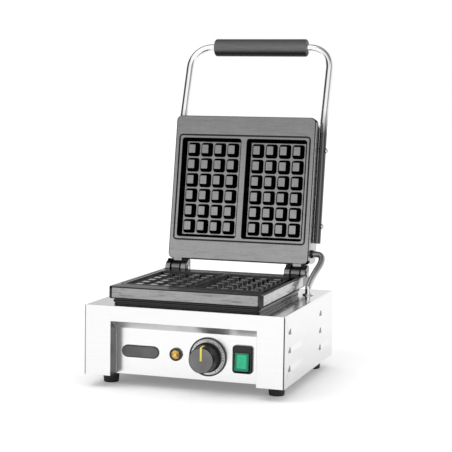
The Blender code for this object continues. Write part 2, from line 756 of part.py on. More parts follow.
def foot_places():
    """Feet by name, as (x, y)."""
    x = HALF_WIDTH - FOOT_SIDE_INSET
    front, rear = FOOT_FRONT_INSET, HOUSING_DEPTH - FOOT_REAR_INSET
    return {
        "foot_front_left": (-x, front),
        "foot_front_right": (x, front),
        "foot_rear_left": (-x, rear),
        "foot_rear_right": (x, rear),
    }


def build_bottom_cover(bm):
    low = (-FASCIA_HALF, PANEL_FRONT + SHEET + SEAM, FLOOR)
    add_box(bm, low, (FASCIA_HALF, HOUSING_DEPTH - SHEET - SEAM, FLOOR + SHEET))


def build_bottom_cuts(bm):
    low_z, high_z = FLOOR - OVERRUN, FLOOR + SHEET + OVERRUN
    for x, y in foot_places().values():
        add_rod(bm, SCREW_RADIUS + GAP, low_z, high_z, Matrix.Translation((x, y, 0)))
    for column in range(VENT_COLUMNS):
        for row in range(VENT_ROWS):
            x = (column - (VENT_COLUMNS - 1) / 2) * VENT_COLUMN_PITCH
            y = HOUSING_DEPTH / 2 + (row - (VENT_ROWS - 1) / 2) * VENT_PITCH
            outline = rounded_outline(VENT_LENGTH / 2, VENT_WIDTH / 2, VENT_WIDTH / 2 - GAP, (x, y), 1)
            add_prism(bm, outline, low_z, high_z)


def build_foot(bm):
    add_turned(bm, [
        (FOOT_BOTTOM_RADIUS - FOOT_EDGE, 0),
        (FOOT_BOTTOM_RADIUS, FOOT_EDGE),
        (FOOT_TOP_RADIUS, FOOT_HEIGHT - GAP - FOOT_EDGE),
        (FOOT_TOP_RADIUS - FOOT_EDGE, FOOT_HEIGHT - GAP),
        (SCREW_RADIUS + GAP, FOOT_HEIGHT - GAP),
        (SCREW_RADIUS + GAP, FOOT_SOCKET_DEPTH),
        (FOOT_SOCKET_RADIUS, FOOT_SOCKET_DEPTH),
        (FOOT_SOCKET_RADIUS, 0),
    ], bored=True)


def build_foot_screw(bm):
    length = FOOT_HEIGHT + SHEET - FOOT_SOCKET_DEPTH + GAP + SCREW_END
    add_turned(bm, screw_profile(SCREW_RADIUS, SCREW_HEAD_RADIUS, SCREW_HEAD_HEIGHT, length), SMALL_STEPS)


def make_bottom(parent, steel, zinc, rubber):
    cover = make_part("bottom_cover", build_bottom_cover, steel, parent)
    combine(cover, "vents_and_holes", build_bottom_cuts)
    foot = make_mesh("foot", build_foot)
    for name, (x, y) in foot_places().items():
        make_part(name, foot, rubber, parent, (x, y, 0))
    places = [((x, y, FOOT_SOCKET_DEPTH - GAP), "down") for x, y in foot_places().values()]
    make_set("foot_screw", build_foot_screw, zinc, parent, places)


# Controls

def build_name_plate(bm):
    centre = (NAME_PLATE_X, CONTROL_Z)
    radius = NAME_PLATE_HEIGHT / 2 - GAP
    outline = rounded_outline(NAME_PLATE_LENGTH / 2, NAME_PLATE_HEIGHT / 2, radius, centre, 6)
    add_prism(bm, outline, PANEL_FRONT - GAP - NAME_PLATE_THICKNESS, PANEL_FRONT - GAP, "xz")


def build_lamp_bezel(bm):
    bore = LAMP_LENS_RADIUS + GAP
    edge = LAMP_BEZEL_REACH / 3
    add_turned(bm, [
        (bore, GAP),
        (LAMP_BEZEL_RADIUS, GAP),
        (LAMP_BEZEL_RADIUS, LAMP_BEZEL_REACH - edge),
        (LAMP_BEZEL_RADIUS - edge, LAMP_BEZEL_REACH),
        (bore, LAMP_BEZEL_REACH),
    ], turn=control_axis(LAMP_X), bored=True)


def build_lamp_lens(bm):
    radius = LAMP_LENS_RADIUS
    rise = LAMP_LENS_REACH - LAMP_BEZEL_REACH
    profile = [(radius, GAP)]
    for angle in map(math.radians, LAMP_DOME_DEGREES):
        profile.append((radius * math.cos(angle), LAMP_BEZEL_REACH + rise * math.sin(angle)))
    add_turned(bm, profile, turn=control_axis(LAMP_X))


def build_lamp_body(bm):
    seat = -(SHEET + GAP)
    flange = seat - LAMP_FLANGE
    neck = LAMP_HOLE_RADIUS - GAP
    add_turned(bm, [
        (LAMP_BODY_RADIUS / 2, seat - LAMP_BODY_LENGTH),
        (LAMP_BODY_RADIUS, flange - LAMP_BODY_LENGTH / 2),
        (LAMP_BODY_RADIUS, flange),
        (LAMP_BEZEL_RADIUS, flange),
        (LAMP_BEZEL_RADIUS, seat),
        (neck, seat),
        (neck, 0),
    ], turn=control_axis(LAMP_X))


def build_dial_ring(bm):
    add_turned(bm, [
        (DIAL_BORE_RADIUS, GAP),
        (DIAL_RADIUS, GAP),
        (DIAL_RADIUS, DIAL_LIP_HEIGHT - GAP),
        (DIAL_RADIUS - GAP, DIAL_LIP_HEIGHT),
        (DIAL_RADIUS - DIAL_LIP, DIAL_LIP_HEIGHT),
        (DIAL_RADIUS - DIAL_LIP - GAP, DIAL_THICKNESS),
        (DIAL_BORE_RADIUS, DIAL_THICKNESS),
    ], steps=DIAL_STEPS, turn=control_axis(DIAL_X), bored=True)


def build_knob(bm):
    """Knob about its own axis, local Z towards the user, with a socket for the spindle."""
    waist_end = KNOB_CLEARANCE + KNOB_FLANGE
    socket = SPINDLE_RADIUS + KNOB_TURN_CLEARANCE
    add_turned(bm, [
        (KNOB_RADIUS - GAP, KNOB_CLEARANCE),
        (KNOB_RADIUS, KNOB_CLEARANCE + GAP),
        (KNOB_RADIUS, waist_end),
        (KNOB_WAIST_RADIUS, waist_end + KNOB_FACE_EDGE),
        (KNOB_FACE_RADIUS, KNOB_REACH - KNOB_FACE_EDGE),
        (KNOB_FACE_RADIUS - KNOB_FACE_EDGE, KNOB_REACH - KNOB_POINTER_HEIGHT),
        (socket, KNOB_REACH - KNOB_POINTER_HEIGHT),
        (socket, KNOB_CLEARANCE),
    ], steps=DIAL_STEPS, bored=True)


def build_knob_cap(bm):
    """Solid front of the knob over its socket."""
    front = KNOB_REACH - KNOB_POINTER_HEIGHT - GAP
    add_rod(bm, KNOB_WAIST_RADIUS / 2, KNOB_CLEARANCE + KNOB_SOCKET_DEPTH, front)


def build_knob_pointer(bm):
    """Raised pointer from the middle of the face, over its bevel to the flange."""
    half = KNOB_POINTER_WIDTH / 2
    face = KNOB_REACH - KNOB_POINTER_HEIGHT
    waist_end = KNOB_CLEARANCE + KNOB_FLANGE
    rise = KNOB_POINTER_HEIGHT
    profile = [
        (-half, face - OVERRUN),
        (KNOB_FACE_RADIUS - OVERRUN, face - OVERRUN),
        (KNOB_WAIST_RADIUS - OVERRUN, waist_end),
        (KNOB_WAIST_RADIUS + rise, waist_end + KNOB_FACE_EDGE),
        (KNOB_FACE_RADIUS + rise, KNOB_REACH - KNOB_FACE_EDGE),
        (KNOB_FACE_RADIUS - KNOB_FACE_EDGE, KNOB_REACH),
        (-half, KNOB_REACH),
    ]
    add_prism(bm, profile, -half, half, "yz")


def build_spindle(bm):
    """Spindle from inside the regulator into the knob's socket."""
    tip = KNOB_CLEARANCE + KNOB_SOCKET_DEPTH - GAP
    tail = -(SHEET + GAP + THERMOSTAT_NECK_LENGTH + SPINDLE_TAIL)
    add_rod(bm, SPINDLE_RADIUS, tail, tip, steps=ROUND_STEPS)


def build_thermostat(bm):
    low_y = PANEL_FRONT + SHEET + GAP
    half_x, half_z = THERMOSTAT_WIDTH / 2, THERMOSTAT_HEIGHT / 2
    low = (DIAL_X - half_x, low_y, CONTROL_Z - half_z)
    add_box(bm, low, (DIAL_X + half_x, low_y + THERMOSTAT_DEPTH, CONTROL_Z + half_z))


def build_thermostat_neck(bm):
    axis = control_axis(DIAL_X)
    add_rod(bm, THERMOSTAT_NECK_RADIUS, -(SHEET + OVERRUN), DIAL_THICKNESS, axis, ROUND_STEPS)


def build_spindle_hole(bm):
    depth = SHEET + GAP + THERMOSTAT_NECK_LENGTH + SPINDLE_TAIL + GAP
    radius = SPINDLE_RADIUS + KNOB_TURN_CLEARANCE
    add_rod(bm, radius, -depth, DIAL_THICKNESS + OVERRUN, control_axis(DIAL_X), ROUND_STEPS)


def make_thermostat(parent, plastic, steel, zinc):
    body = make_part("thermostat_body", build_thermostat, plastic, parent)
    combine(body, "neck", build_thermostat_neck, "UNION")
    combine(body, "spindle_hole", build_spindle_hole)
    pivot = make_empty("knob_pivot", (DIAL_X, PANEL_FRONT, CONTROL_Z), (math.pi / 2, 0, 0), parent)
    knob = make_part("thermostat_knob", build_knob, plastic, pivot)
    combine(knob, "cap", build_knob_cap, "UNION")
    combine(knob, "pointer", build_knob_pointer, "UNION")
    make_part("thermostat_spindle", build_spindle, zinc, pivot)
    make_part("dial_ring", build_dial_ring, steel, parent)


def build_thermostat_bulb(bm):
    """Bulb under the middle of the lower plate, and the capillary tube to the regulator."""
    bulb_z = PLATE_TOP - PLATE_THICKNESS - GAP - BULB_RADIUS
    start_y = HINGE_Y - PLATE_CENTRE + BULB_LENGTH / 2
    bulb_end = start_y - BULB_LENGTH
    drop_y = HINGE_Y - lead_places()[-1][1]
    body_top = CONTROL_Z + THERMOSTAT_HEIGHT / 2 + GAP
    body_y = PANEL_FRONT + SHEET + GAP + THERMOSTAT_DEPTH / 2
    low_run = DECK - SHEET - THERMOSTAT_NECK_LENGTH
    corners = [(0, bulb_end, bulb_z), (0, drop_y, bulb_z), (0, drop_y, low_run)]
    corners += [(DIAL_X, body_y, low_run), (DIAL_X, body_y, body_top)]
    radii = [2 * BULB_RADIUS, 2 * BULB_RADIUS, THERMOSTAT_NECK_LENGTH]
    route = filleted(corners, radii, COARSE_BEND_STEP)
    shoulder = Vector((0, bulb_end + BULB_RADIUS, bulb_z))
    points = [Vector((0, start_y, bulb_z)), shoulder] + route
    thickness = [BULB_RADIUS, BULB_RADIUS] + [CAPILLARY_RADIUS] * len(route)
    add_tube(bm, points, thickness, SMALL_STEPS)


def build_switch_frame(bm):
    centre = (SWITCH_X, CONTROL_Z)
    seat = PANEL_FRONT - GAP
    rim = rounded_outline(SWITCH_WIDTH / 2, SWITCH_HEIGHT / 2, SWITCH_CORNER, centre)
    inset = SWITCH_CORNER / 2
    half_x, half_z = SWITCH_WIDTH / 2 - inset, SWITCH_HEIGHT / 2 - inset
    top = rounded_outline(half_x, half_z, SWITCH_CORNER - inset, centre)
    levels = ((rim, seat), (rim, seat - SWITCH_REACH + inset), (top, seat - SWITCH_REACH))
    add_loft(bm, [[(x, y, z) for x, z in outline] for outline, y in levels])


def build_switch_body(bm):
    half_x, half_z = SWITCH_BODY_WIDTH / 2, SWITCH_BODY_HEIGHT / 2
    low = (SWITCH_X - half_x, PANEL_FRONT - SWITCH_REACH / 2, CONTROL_Z - half_z)
    add_box(bm, low, (SWITCH_X + half_x, PANEL_FRONT + SWITCH_BODY_DEPTH, CONTROL_Z + half_z))


def build_switch_tabs(bm):
    front = PANEL_FRONT + SWITCH_BODY_DEPTH - OVERRUN
    rear = PANEL_FRONT + SWITCH_BODY_DEPTH + SWITCH_TAB_LENGTH
    half_x, half_z = SWITCH_TAB_THICKNESS / 2, SWITCH_TAB_WIDTH / 2
    for x in (SWITCH_X - SWITCH_TAB_WIDTH, SWITCH_X + SWITCH_TAB_WIDTH):
        for z in (CONTROL_Z - SWITCH_TAB_PITCH, CONTROL_Z + SWITCH_TAB_PITCH):
            add_box(bm, (x - half_x, front, z - half_z), (x + half_x, rear, z + half_z))


def build_switch_well(bm):
    half_x, half_z = SWITCH_WELL_WIDTH / 2, SWITCH_WELL_HEIGHT / 2
    front = PANEL_FRONT - SWITCH_REACH - OVERRUN
    rear = PANEL_FRONT - SWITCH_REACH + SWITCH_WELL_DEPTH
    low = (SWITCH_X - half_x, front, CONTROL_Z - half_z)
    add_box(bm, low, (SWITCH_X + half_x, rear, CONTROL_Z + half_z))


def build_rocker(bm):
    """Rocker about its own pivot: two flats that meet in a shallow valley, with a keel behind."""
    half_x = SWITCH_WELL_WIDTH / 2 - ROCKER_CLEARANCE
    half_z = SWITCH_WELL_HEIGHT / 2 - 2 * ROCKER_CLEARANCE
    front = -(ROCKER_PIVOT_DEPTH + ROCKER_PROUD)
    valley = front + half_z * math.tan(ROCKER_SWING / 2)
    side = front + ROCKER_SIDE
    upper = [(valley, 0), (front, half_z), (side, half_z), (ROCKER_KEEL, half_z / 2)]
    lower = [(y, -z) for y, z in reversed(upper[1:])]
    add_prism(bm, upper + lower, -half_x, half_x, "yz")


def make_switch(parent, plastic, green):
    frame = make_part("switch_frame", build_switch_frame, plastic, parent)
    combine(frame, "body", build_switch_body, "UNION")
    combine(frame, "tabs", build_switch_tabs, "UNION")
    combine(frame, "well", build_switch_well)
    pivot_y = PANEL_FRONT - GAP - SWITCH_REACH + ROCKER_PIVOT_DEPTH
    pivot = make_empty("rocker_pivot", (SWITCH_X, pivot_y, CONTROL_Z), (-ROCKER_SWING / 2, 0, 0), parent)
    make_part("switch_rocker", build_rocker, green, pivot)


def make_controls(parent, mats):
    make_part("name_plate", build_name_plate, mats["grey"], parent)
    make_part("lamp_bezel", build_lamp_bezel, mats["black"], parent)
    make_part("lamp_lens", build_lamp_lens, mats["amber"], parent)
    make_part("lamp_body", build_lamp_body, mats["black"], parent)
    make_thermostat(parent, mats["black"], mats["steel"], mats["zinc"])
    make_part("thermostat_bulb", build_thermostat_bulb, mats["zinc"], parent)
    make_switch(parent, mats["black"], mats["green"])


# Supply inlet

def build_gland(bm):
    thread, bore = GLAND_THREAD_RADIUS, GLAND_BORE
    waist = GLAND_NUT + GAP
    add_turned(bm, [
        (bore, -(SHEET + GLAND_NUT)),
        (thread, -(SHEET + GLAND_NUT)),
        (thread, GAP),
        (GLAND_RADIUS, GAP),
        (GLAND_RADIUS, waist),
        (GLAND_RADIUS - GAP, waist),
        ((GLAND_RADIUS + bore) / 2, GLAND_REACH),
        (bore, GLAND_REACH),
    ], turn=gland_axis(), bored=True)


def build_terminal_block(bm):
    base = FLOOR + SHEET + GAP
    half_x, half_y = TERMINAL_WIDTH / 2, TERMINAL_DEPTH / 2
    low = (GLAND_X - half_x, TERMINAL_Y - half_y, base)
    add_box(bm, low, (GLAND_X + half_x, TERMINAL_Y + half_y, base + TERMINAL_HEIGHT))


def build_terminal_holes(bm):
    z = FLOOR + SHEET + GAP + TERMINAL_HEIGHT / 2
    half = TERMINAL_DEPTH / 2 + OVERRUN
    for pole in range(TERMINAL_POLES):
        x = GLAND_X + (pole - (TERMINAL_POLES - 1) / 2) * TERMINAL_WIDTH / TERMINAL_POLES
        add_rod(bm, TERMINAL_HOLE, -half, half, facing((0, 1, 0), (x, TERMINAL_Y, z)))


def make_supply(parent, plastic, ceramic):
    make_part("cable_gland", build_gland, plastic, parent)
    block = make_part("terminal_block", build_terminal_block, ceramic, parent)
    combine(block, "holes", build_terminal_holes)


# Waffle plates, built about the hinge axis: x across, y along the plate, z out of its face

def build_plate_slab(bm):
    half = PLATE_SIZE / 2
    add_prism(bm, rounded_outline(half, half, PLATE_CORNER, (0, PLATE_CENTRE)), -PLATE_THICKNESS, 0)


def level(outline, height):
    """Outline lifted to a height, as a ring of a loft."""
    return [(u, v, height) for u, v in outline]


def build_mould_cuts(bm):
    """Both drafted pockets, the groove round them and the blind bolt holes."""
    slope = MOULD_DRAFT / MOULD_DEPTH
    for side in (-1, 1):
        centre = (side * MOULD_X, PLATE_CENTRE)
        rings = []
        for height in (-MOULD_DEPTH, OVERRUN):
            shrink = -height * slope
            half_x, half_y = MOULD_HALF_WIDTH - shrink, MOULD_HALF_LENGTH - shrink
            outline = rounded_outline(half_x, half_y, MOULD_CORNER - min(shrink, 0), centre, 2)
            rings.append(level(outline, height))
        add_loft(bm, rings)
    rings = []
    for side, height in ((-1, -GROOVE_DEPTH), (1, -GROOVE_DEPTH), (1, OVERRUN), (-1, OVERRUN)):
        margin = GROOVE_MARGIN + side * GROOVE_WIDTH / 2
        half_x, half_y = MOULD_X + MOULD_HALF_WIDTH + margin, MOULD_HALF_LENGTH + margin
        rings.append(level(rounded_outline(half_x, half_y, margin, (0, PLATE_CENTRE)), height))
    add_loft(bm, rings, closed_ends=False)
    for x in (-BOLT_X, BOLT_X):
        for s in (-BOLT_S, BOLT_S):
            place = Matrix.Translation((x, PLATE_CENTRE + s, -PLATE_THICKNESS))
            add_rod(bm, BOLT_RADIUS + GAP, -OVERRUN, BOLT_GRIP + GAP, place)


def build_pegs(bm):
    """Square pegs with clipped corners that narrow towards their tops."""
    floor = -MOULD_DEPTH
    top = -PEG_DROP
    root = floor - PEG_ROOT
    root_grow = PEG_DRAFT * PEG_ROOT / (top - floor)
    for side in (-1, 1):
        for column in range(CELL_COLUMNS):
            for row in range(CELL_ROWS):
                x = side * MOULD_X + (column - (CELL_COLUMNS - 1) / 2) * CELL_WIDTH
                y = PLATE_CENTRE + (row - (CELL_ROWS - 1) / 2) * CELL_LENGTH
                half_x, half_y = (CELL_WIDTH - PEG_CHANNEL) / 2, (CELL_LENGTH - PEG_CHANNEL) / 2
                rings = []
                for height, shrink in ((root, -root_grow), (top, PEG_DRAFT)):
                    clip = PEG_CORNER - max(shrink, 0) / 2
                    outline = rounded_outline(half_x - shrink, half_y - shrink, clip, (x, y), 1)
                    rings.append(level(outline, height))
                add_loft(bm, rings)


def lug_profile():
    """Side view of a lug, about the hinge axis: y away from the plate, z up. Its horn stops the lid."""
    foot = -(PLATE_THICKNESS + PARTING_GAP / 2)
    front = -(HINGE_BACK + PLATE_CORNER)
    outline = [(front, foot), (STOP_REACH, foot)]
    for y in (STOP_REACH, STOP_START):
        outline.append((y, (HINGE_BACK - GAP) / math.cos(LID_LEAN) - y * math.tan(LID_LEAN)))
    outline += corner_arc((0, 0), LUG_RADIUS, LUG_CREST_DEGREES, 180, LUG_STEPS)
    outline += [(-LUG_RADIUS, -PARTING_GAP / 2), (front, -PARTING_GAP / 2)]
    return outline


def build_lugs(bm):
    """Four lugs on the lower plate's rear edge, with the lid's stop behind each pin."""
    outline = [(-y, z + PARTING_GAP / 2) for y, z in lug_profile()]
    for side in (-1, 1):
        for start, width in ((LUG_INNER_X, LUG_WIDTH), (LUG_OUTER_X, OUTER_LUG_WIDTH)):
            low, high = sorted((side * start, side * (start + width)))
            add_prism(bm, outline, low, high, "yz")


def build_knuckles(bm):
    """Two knuckles on the upper plate's bottom edge, between the lugs."""
    half = KNUCKLE_WIDTH / 2
    axis_z = PARTING_GAP / 2
    root = HINGE_BACK + PLATE_CORNER
    outline = corner_arc((0, axis_z), KNUCKLE_RADIUS, 0, 290, 16)
    outline += [(HINGE_BACK, -PLATE_THICKNESS), (root, -PLATE_THICKNESS), (root, 0)]
    for side in (-1, 1):
        add_prism(bm, outline, side * KNUCKLE_X - half, side * KNUCKLE_X + half, "yz")


def build_pin_holes(bm):
    """Pin bores through lugs or knuckles."""
    reach = PLATE_SIZE / 2 + OVERRUN
    turn = facing((1, 0, 0), (0, 0, PARTING_GAP / 2))
    for low, high in ((-reach, -(LUG_INNER_X - OVERRUN)), (LUG_INNER_X - OVERRUN, reach)):
        add_rod(bm, PIN_RADIUS + GAP, low, high, turn, TUBE_STEPS)


def make_plate(name, material, parent, location, rotation, build_ears, ears):
    plate = make_part(name, build_plate_slab, material, parent, location, rotation)
    combine(plate, ears, build_ears, "UNION")
    combine(plate, "pin_holes", build_pin_holes)
    combine(plate, "moulds", build_mould_cuts)
    combine(plate, "pegs", build_pegs, "UNION")


def build_hinge_pin(bm):
    """Pin along local Z from the appliance's middle: a shank through three ears, and a head."""
    start = LUG_INNER_X - PIN_HEAD
    end = LUG_OUTER_X + OUTER_LUG_WIDTH + GAP
    head = [(PIN_HEAD_RADIUS, end), (PIN_HEAD_RADIUS, end + PIN_HEAD / 2), (PIN_RADIUS, end + PIN_HEAD)]
    add_turned(bm, [(PIN_RADIUS, start), (PIN_RADIUS, end)] + head, TUBE_STEPS)


# Heating elements, clamps and bolts, in the plates' frame

def build_element(bm):
    """Serpentine rod behind a plate, with both tails turned away from it."""
    z = -ELEMENT_DEPTH
    low_y = PLATE_CENTRE - ELEMENT_HALF_LENGTH
    high_y = PLATE_CENTRE + ELEMENT_HALF_LENGTH
    pitch = 2 * ELEMENT_HALF_SPAN / (ELEMENT_PASSES - 1)
    corners = [(-ELEMENT_HALF_SPAN, low_y, z - ELEMENT_TAIL)]
    radii = []
    for column in range(ELEMENT_PASSES):
        x = -ELEMENT_HALF_SPAN + column * pitch
        ends = (low_y, high_y) if column % 2 == 0 else (high_y, low_y)
        inner_y = low_y + ELEMENT_RETURN
        for end in ends:
            turned_back = end == low_y and 0 < column < ELEMENT_PASSES - 1
            corners.append((x, inner_y if turned_back else end, z))
            radii.append(ELEMENT_BEND)
    corners.append((ELEMENT_HALF_SPAN, low_y, z - ELEMENT_TAIL))
    points = filleted(corners, radii, COARSE_BEND_STEP)
    add_tube(bm, points, [ELEMENT_RADIUS] * len(points), SMALL_STEPS)


def build_clamp(bm):
    outline = rounded_outline(CLAMP_HALF, CLAMP_HALF, PLATE_CORNER, (0, PLATE_CENTRE))
    add_prism(bm, outline, -(CLAMP_DEPTH + SHEET), -CLAMP_DEPTH)


def build_clamp_cuts(bm):
    low, high = -(CLAMP_DEPTH + SHEET), -CLAMP_DEPTH
    for x in (-BOLT_X, BOLT_X):
        for s in (-BOLT_S, BOLT_S):
            place = Matrix.Translation((x, PLATE_CENTRE + s, 0))
            add_rod(bm, BOLT_RADIUS + GAP, low - OVERRUN, high + OVERRUN, place)
    for place in lead_places():
        add_window(bm, place, low, high)


def make_heater(prefix, parent, location, rotation, mats):
    make_part(f"{prefix}_heating_element", build_element, mats["element"], parent, location, rotation)
    clamp = make_part(f"{prefix}_element_clamp", build_clamp, mats["zinc"], parent, location, rotation)
    combine(clamp, "cuts", build_clamp_cuts)


def build_skirt_wall(bm, inset, overrun):
    """Four-sided sloping body between the plate and the deck, closed at both ends."""
    top = PLATE_TOP - PLATE_THICKNESS - GAP
    bottom = DECK + GAP
    centre = (0, HINGE_Y - PLATE_CENTRE)
    rings = []
    for height, step_in in ((bottom - overrun, SKIRT_BOTTOM_INSET), (top + overrun, SKIRT_TOP_INSET)):
        half = PLATE_SIZE / 2 - step_in - inset
        rings.append(level(rounded_outline(half, half, PLATE_CORNER, centre), height))
    add_loft(bm, rings)


def make_skirt(parent, material):
    skirt = make_part("lower_skirt", lambda bm: build_skirt_wall(bm, 0, 0), material, parent)
    combine(skirt, "inside", lambda bm: build_skirt_wall(bm, SKIRT_WALL, OVERRUN))


def build_plate_bolt(bm):
    """Bolt up through the deck and the clamp into the lower plate."""
    length = PLATE_TOP - PLATE_THICKNESS + BOLT_GRIP - (DECK - SHEET - GAP)
    add_turned(bm, screw_profile(BOLT_RADIUS, BOLT_HEAD_RADIUS, BOLT_HEAD_HEIGHT, length), SMALL_STEPS)


# Lid, in its own frame: y back from the hinge axis, z up the lid

def cover_outline(inset):
    half_u = COVER_HALF - inset
    half_v = PLATE_SIZE / 2 - COVER_END_INSET - inset
    return rounded_outline(half_u, half_v, COVER_CORNER - inset, (0, PLATE_CENTRE))


def build_cover(bm):
    front = PARTING_GAP / 2 + PLATE_THICKNESS + GAP
    add_prism(bm, cover_outline(0), front, LID_THICKNESS, "xz")


def build_cover_inside(bm):
    front = PARTING_GAP / 2 + PLATE_THICKNESS + GAP
    add_prism(bm, cover_outline(SHEET), front - OVERRUN, LID_THICKNESS - SHEET, "xz")


def build_cover_holes(bm):
    for x in (-BOLT_X, BOLT_X):
        for s in (-BOLT_S, BOLT_S):
            place = facing((0, 1, 0), (x, LID_THICKNESS, PLATE_CENTRE + s))
            add_rod(bm, BOLT_RADIUS + GAP, -(SHEET + OVERRUN), OVERRUN, place)
    for side, s in handle_screw_places():
        place = facing((side, 0, 0), (side * COVER_HALF, HANDLE_DEPTH, s))
        add_rod(bm, SCREW_RADIUS + GAP, -(SHEET + OVERRUN), OVERRUN, place)
    nut = facing((1, 0, 0), (COVER_HALF, HOSE_NUT_DEPTH, HINGE_BACK + HOSE_NUT_S))
    add_rod(bm, HOSE_BORE, -(SHEET + OVERRUN), OVERRUN, nut)


def build_insulation(bm):
    low = CLAMP_DEPTH + SHEET + GAP + PARTING_GAP / 2
    high = LID_THICKNESS - SHEET - GAP
    add_prism(bm, cover_outline(SHEET + INSULATION_INSET), low, high, "xz")


def build_insulation_cuts(bm):
    low_y, high_y = CLAMP_DEPTH, LID_THICKNESS + OVERRUN
    for x in (-BOLT_X, BOLT_X):
        for s in (-BOLT_S, BOLT_S):
            add_rod(bm, BOLT_RADIUS + GAP, low_y, high_y, facing((0, 1, 0), (x, 0, PLATE_CENTRE + s)))
    for place in lead_places()[:2]:
        add_window(bm, place, low_y, high_y, "xz")


def build_cover_bolt(bm):
    """Bolt through the cover and the clamp into the upper plate."""
    length = LID_THICKNESS + GAP - (PARTING_GAP / 2 + PLATE_THICKNESS - BOLT_GRIP)
    add_turned(bm, screw_profile(BOLT_RADIUS, BOLT_HEAD_RADIUS, BOLT_HEAD_HEIGHT, length), SMALL_STEPS)


def handle_screw_places():
    """Handle screws, as (side, distance up the lid)."""
    heights = (HINGE_BACK + HANDLE_SCREW_LOW, HINGE_BACK + HANDLE_SCREW_HIGH)
    return [(side, height) for side in (-1, 1) for height in heights]


def build_handle(bm):
    """Bent tube: two legs along the cover's sides, kinked back above the lid and joined by a bar."""
    half = HANDLE_HALF_SPACING
    kink = HINGE_BACK + PLATE_SIZE
    start = HINGE_BACK + HANDLE_START
    leg = [(HANDLE_DEPTH, start), (HANDLE_DEPTH, kink), (HANDLE_TOP_DEPTH, HANDLE_TOP)]
    corners = [(-half, y, z) for y, z in leg] + [(half, y, z) for y, z in reversed(leg)]
    radii = [HANDLE_KINK_RADIUS, HANDLE_CORNER_RADIUS, HANDLE_CORNER_RADIUS, HANDLE_KINK_RADIUS]
    points = filleted(corners, radii)
    add_tube(bm, points, [TUBE_RADIUS] * len(points), bore=TUBE_BORE)


def build_handle_holes(bm):
    reach = TUBE_RADIUS + OVERRUN
    for side, s in handle_screw_places():
        place = facing((side, 0, 0), (side * HANDLE_HALF_SPACING, HANDLE_DEPTH, s))
        add_rod(bm, SCREW_RADIUS + GAP, -reach, reach, place)


def build_handle_screw(bm):
    """Screw through the tube into the cover's side."""
    length = HANDLE_HALF_SPACING + TUBE_RADIUS + GAP - COVER_HALF + SHEET + HANDLE_SCREW_END
    add_turned(bm, screw_profile(SCREW_RADIUS, SCREW_HEAD_RADIUS, SCREW_HEAD_HEIGHT, length), SMALL_STEPS)


def build_grip(bm):
    half = GRIP_LENGTH / 2
    bore = TUBE_RADIUS + GAP
    add_turned(bm, [
        (bore, -half),
        (GRIP_RADIUS - GRIP_EDGE, -half),
        (GRIP_RADIUS - GRIP_EDGE / 3, -half + GRIP_EDGE / 3),
        (GRIP_RADIUS, -half + GRIP_EDGE),
        (GRIP_RADIUS, half - GRIP_EDGE),
        (GRIP_RADIUS - GRIP_EDGE / 3, half - GRIP_EDGE / 3),
        (GRIP_RADIUS - GRIP_EDGE, half),
        (bore, half),
    ], steps=ROUND_STEPS, turn=facing((1, 0, 0), (0, HANDLE_TOP_DEPTH, HANDLE_TOP)), bored=True)


def make_lid(parent, mats):
    pivot = make_empty("lid_pivot", (0, HINGE_Y, HINGE_Z), (-LID_LEAN, 0, 0), parent)
    face = (0, PARTING_GAP / 2, 0)
    upright = (math.pi / 2, 0, 0)
    make_plate("upper_plate", mats["iron"], pivot, face, upright, build_knuckles, "knuckles")
    make_heater("upper", pivot, face, upright, mats)
    cover = make_part("upper_cover", build_cover, mats["steel"], pivot)
    combine(cover, "inside", build_cover_inside)
    combine(cover, "holes", build_cover_holes)
    slab = make_part("upper_insulation", build_insulation, mats["wool"], pivot)
    combine(slab, "cuts", build_insulation_cuts)
    seat = LID_THICKNESS + GAP
    places = [((x, seat, PLATE_CENTRE + s), "back") for x in (-BOLT_X, BOLT_X) for s in (-BOLT_S, BOLT_S)]
    make_set("cover_bolt", build_cover_bolt, mats["zinc"], pivot, places)
    tube = make_part("handle_tube", build_handle, mats["chrome"], pivot)
    combine(tube, "screw_holes", build_handle_holes)
    make_part("handle_grip", build_grip, mats["black"], pivot)
    seat = HANDLE_HALF_SPACING + TUBE_RADIUS + GAP
    places = []
    for side, s in handle_screw_places():
        places.append(((side * seat, HANDLE_DEPTH, s), "right" if side > 0 else "left"))
    make_set("handle_screw", build_handle_screw, mats["zinc"], pivot, places)
    make_part("conduit_lid_nut", build_lid_nut, mats["zinc"], pivot)


# Conduit and its fittings

def add_nut(bm, low, high, bore, turn):
    """Six-sided nut with a bore."""
    flat_share = math.cos(math.pi / 6)
    outer, inner = [], []
    for i in range(TUBE_STEPS):
        angle = 2 * math.pi * i / TUBE_STEPS
        radius = HOSE_NUT_RADIUS * (flat_share if i % 2 else 1)
        outer.append((radius * math.cos(angle), radius * math.sin(angle)))
        inner.append((bore * math.cos(angle), bore * math.sin(angle)))
    rings = [level(outer, low), level(outer, high), level(inner, high), level(inner, low)]
    add_loft(bm, [[turn @ Vector(point) for point in ring] for ring in rings], closed_ends=False)


def build_lid_nut(bm):
    place = facing((1, 0, 0), (COVER_HALF, HOSE_NUT_DEPTH, HINGE_BACK + HOSE_NUT_S))
    add_nut(bm, GAP, GAP + HOSE_NUT_LENGTH, HOSE_RADIUS + GAP, place)


def build_deck_nut(bm):
    place = Matrix.Translation((HOSE_BASE_X, HOSE_BASE_Y, DECK))
    bore = HOSE_RADIUS + GAP
    add_turned(bm, [
        (bore, GAP),
        (HOSE_FLANGE_RADIUS, GAP),
        (HOSE_FLANGE_RADIUS, HOSE_FLANGE_HEIGHT - GAP),
        (HOSE_FLANGE_RADIUS - GAP, HOSE_FLANGE_HEIGHT),
        (bore, HOSE_FLANGE_HEIGHT),
    ], turn=place, bored=True)


